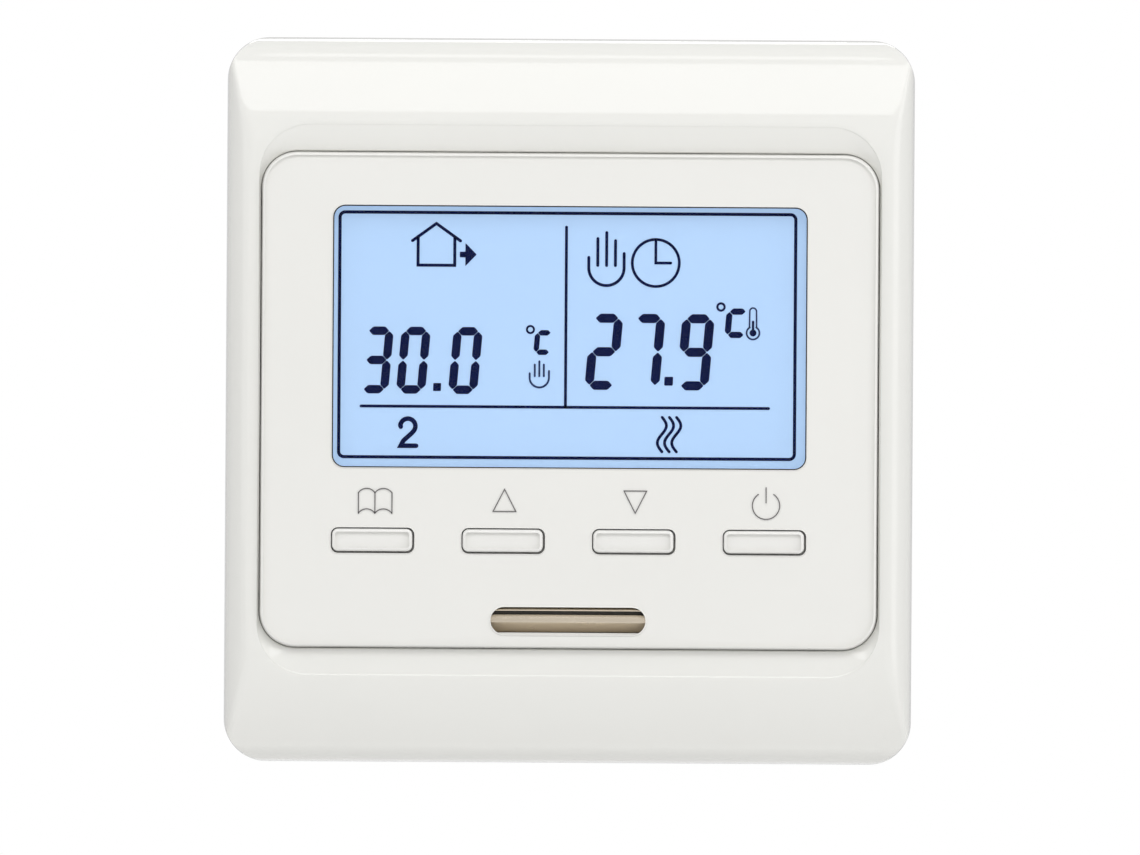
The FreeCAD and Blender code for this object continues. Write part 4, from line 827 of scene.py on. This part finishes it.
def threadTree(form):
    tree = bpy.data.node_groups.new("threadedShank", "GeometryNodeTree")
    for label in ("Radius", "Core", "Pitch", "Length", "Spacing"):
        tree.interface.new_socket(label, in_out="INPUT", socket_type="NodeSocketFloat")
    tree.interface.new_socket("Metal", in_out="INPUT", socket_type="NodeSocketMaterial")
    tree.interface.new_socket("Geometry", in_out="OUTPUT", socket_type="NodeSocketGeometry")
    nodes, links = tree.nodes, tree.links
    given, result = nodes.new("NodeGroupInput"), nodes.new("NodeGroupOutput")

    def work(operation, *values):
        node = nodes.new("ShaderNodeMath")
        node.operation = operation
        for i, value in enumerate(values):
            if hasattr(value, "links"):
                links.new(value, node.inputs[i])
            else:
                node.inputs[i].default_value = value
        return node.outputs[0]

    rod = nodes.new("GeometryNodeMeshCylinder")
    rod.inputs["Vertices"].default_value = form["around"]
    rod.inputs["Side Segments"].default_value = form["along"]
    rod.inputs["Radius"].default_value = 1.0
    links.new(given.outputs["Length"], rod.inputs["Depth"])
    place = nodes.new("GeometryNodeInputPosition")
    parts = nodes.new("ShaderNodeSeparateXYZ")
    links.new(place.outputs[0], parts.inputs[0])
    turn = work("DIVIDE", work("ARCTAN2", parts.outputs["Y"], parts.outputs["X"]), 2 * math.pi)
    along = work("DIVIDE", parts.outputs["Z"], given.outputs["Pitch"])
    phase = work("FRACT", work("SUBTRACT", along, turn))
    crest = work("SUBTRACT", 1.0, work("ABSOLUTE", work("SUBTRACT", work("MULTIPLY", phase, 2.0), 1.0)))
    shaped = work("SMOOTH_MIN", work("MULTIPLY", crest, form["crestGain"]), 1.0, form["crestSoft"])
    halfLength = work("MULTIPLY", given.outputs["Length"], 0.5)
    fromEnd = work("SUBTRACT", halfLength, work("ABSOLUTE", parts.outputs["Z"]))
    fade = work("MINIMUM", work("DIVIDE", fromEnd, given.outputs["Pitch"]), 1.0)
    depth = work("SUBTRACT", given.outputs["Radius"], given.outputs["Core"])
    height = work("MULTIPLY", depth, work("MULTIPLY", shaped, fade))
    reach = work("ADD", given.outputs["Core"], height)
    spot = nodes.new("ShaderNodeCombineXYZ")
    links.new(work("MULTIPLY", parts.outputs["X"], reach), spot.inputs["X"])
    links.new(work("MULTIPLY", parts.outputs["Y"], reach), spot.inputs["Y"])
    links.new(parts.outputs["Z"], spot.inputs["Z"])
    shift = nodes.new("GeometryNodeSetPosition")
    links.new(rod.outputs["Mesh"], shift.inputs["Geometry"])
    links.new(spot.outputs[0], shift.inputs["Position"])
    pair = nodes.new("GeometryNodeMeshLine")
    pair.inputs["Count"].default_value = 2
    begin, step = nodes.new("ShaderNodeCombineXYZ"), nodes.new("ShaderNodeCombineXYZ")
    links.new(work("MULTIPLY", given.outputs["Spacing"], -0.5), begin.inputs["X"])
    links.new(given.outputs["Spacing"], step.inputs["X"])
    links.new(begin.outputs[0], pair.inputs["Start Location"])
    links.new(step.outputs[0], pair.inputs["Offset"])
    copies = nodes.new("GeometryNodeInstanceOnPoints")
    links.new(pair.outputs["Mesh"], copies.inputs["Points"])
    links.new(shift.outputs["Geometry"], copies.inputs["Instance"])
    real = nodes.new("GeometryNodeRealizeInstances")
    links.new(copies.outputs[0], real.inputs[0])
    coat = nodes.new("GeometryNodeSetMaterial")
    links.new(real.outputs[0], coat.inputs["Geometry"])
    links.new(given.outputs["Metal"], coat.inputs["Material"])
    links.new(coat.outputs[0], result.inputs["Geometry"])
    return tree


def socketOf(tree, label):
    items = tree.interface.items_tree
    return next(item.identifier for item in items if item.name == label and item.in_out == "INPUT")


def circleLoop(radius, out, middle, steps=40):
    return [at(middle[0] + radius * math.cos(a), out, middle[1] + radius * math.sin(a))
            for a in (2 * math.pi * i / steps for i in range(steps))]


def plainMesh(bm, name):
    bmesh.ops.recalc_face_normals(bm, faces=bm.faces)
    mesh = bpy.data.meshes.new(name)
    bm.to_mesh(mesh)
    bm.free()
    thing = bpy.data.objects.new(name, mesh)
    bpy.context.scene.collection.objects.link(thing)
    return thing


def makeScrews(form):
    box, metal = sidesOf("mounting_screws"), finishes["yellow_zinc"]
    headTop, tip, threadTop = box["front"], box["back"], form["threadTop"]
    spacing, length = box["wide"] - 2 * form["head"], threadTop - tip
    spots = [(side * spacing / 2, 0) for side in (-1, 1)]
    carrier = bpy.data.objects.new("shankCarrier", bpy.data.meshes.new("shankCarrier"))
    bpy.context.scene.collection.objects.link(carrier)
    thread = carrier.modifiers.new("thread", "NODES")
    thread.node_group = threadTree(form)
    for label, value in (("Radius", form["radius"] * mm), ("Core", form["core"] * mm), ("Pitch", form["pitch"] * mm),
                         ("Length", length * mm), ("Spacing", spacing * mm), ("Metal", metal)):
        thread[socketOf(thread.node_group, label)] = value
    shanks = bake(carrier)
    shanks.transform(Matrix.Translation(at(0, tip + length / 2, 0)) @ Matrix.Rotation(quarter, 4, "X"))

    neck, head, rim = form["neck"], form["head"], headTop - form["land"]
    ease, fillet, (rimIn, rimOut), topEase = form["neckEase"], form["fillet"], form["landEase"], form["topEase"]
    coneEnd = rim - (head - neck)
    profile = [(neck * form["neckTip"], threadTop - form["neckStart"]), (neck, threadTop + ease),
               (neck, coneEnd - ease), (neck + fillet, coneEnd + fillet), (head - rimIn, rim - rimOut),
               (head, rim + rimOut), (head, headTop - topEase), (head - topEase, headTop)]
    bm = bmesh.new()
    for spot in spots:
        solid(bm, [circleLoop(r, out, spot) for r, out in profile])
    heads = plainMesh(bm, "heads")
    bm = bmesh.new()
    long, wide, (footLong, footWide) = 2 * form["cross"], form["crossWide"], form["crossFoot"]
    for spot in spots:
        for k, (across, up) in enumerate(((long, wide), (wide, long))):
            low = headTop - form["recess"] - form["crossStagger"] * k
            high = headTop + form["crossOver"] + form["crossStagger"] * k
            rows = ((across * footLong, up * footWide, low), (across, up, high))
            solid(bm, [level(roundLoop(w, t, form["crossCorner"], spot, 3), out) for w, t, out in rows])
    cutter = plainMesh(bm, "cross")
    sink = heads.modifiers.new("recess", "BOOLEAN")
    sink.object, sink.operation, sink.solver = cutter, "DIFFERENCE", "EXACT"
    sink.use_self = True
    headMesh = bake(heads)
    bpy.data.objects.remove(cutter)
    bm = bmesh.new()
    bm.from_mesh(shanks)
    bm.from_mesh(headMesh)
    piece(bm, "mounting_screws_threaded", metal, "base", ["mounting_screws"], sharp=40, weighted=False)


makeScrews(screwForm)
print("mounting screws made")


# pieces whose CAD shape is right get softened edges
softEdges = {
    "mounting_bracket": 0.12, "rear_housing": 0.35, "base_cover": 0.15, "module_back_cover": 0.18,
    "terminal_block": 0.16, "housing_screws": 0.08, "module_screws": 0.08, "relay": 0.12,
    "film_capacitor": 0.1, "lcd_holder": 0.12, "header_socket": 0.08, "header_strip": 0.08,
    "control_board": 0.05, "power_board": 0.05, "fuse": 0.12, "electrolytic_capacitor": 0.1,
}
softForm = {"weld": 2e-6, "flatAngle": 2, "edgeAngle": 38, "segments": 3, "sharp": 40}
bodyOf = {node: body for body, members in frame["record"]["behaviour"]["bodies"].items() for node in members}
slotOf = {part["node"]: part["material_slot"] for part in frame["record"]["subparts"]}


def soften(node, width):
    source = frame["nodes"][node]
    bm = bmesh.new()
    bm.from_mesh(source.data)
    bmesh.ops.remove_doubles(bm, verts=bm.verts, dist=softForm["weld"])
    flat = math.radians(softForm["flatAngle"])
    bmesh.ops.dissolve_limit(bm, angle_limit=flat, verts=bm.verts, edges=bm.edges)
    mesh = bpy.data.meshes.new(node + "_soft")
    bm.to_mesh(mesh)
    bm.free()
    thing = bpy.data.objects.new(node + "_soft", mesh)
    bpy.context.scene.collection.objects.link(thing)
    bevel = thing.modifiers.new("edges", "BEVEL")
    bevel.width, bevel.segments = width * mm, softForm["segments"]
    bevel.limit_method, bevel.angle_limit = "ANGLE", math.radians(softForm["edgeAngle"])
    bevel.use_clamp_overlap = True
    bevel.miter_outer = "MITER_ARC"
    slot, sharp = slotOf[node], softForm["sharp"]
    return dress(bake(thing), node + "_soft", finishes[slot], bodyOf[node], [node], sharp=sharp)


for node, width in softEdges.items():
    soften(node, width)
snapDome = {"edge": 0.02, "pressed": 0.2}  # share of its height that a pressed dome keeps
for key in keyNames:
    dome = soften(f"key_{key}_dome", snapDome["edge"])
    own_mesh(dome)
for node, thing in frame["nodes"].items():
    thing.data.materials.clear()
    thing.data.materials.append(finishes[slotOf[node]])
print("remaining pieces finished:", len(softEdges), "softened,", len(frame["nodes"]), "nodes")
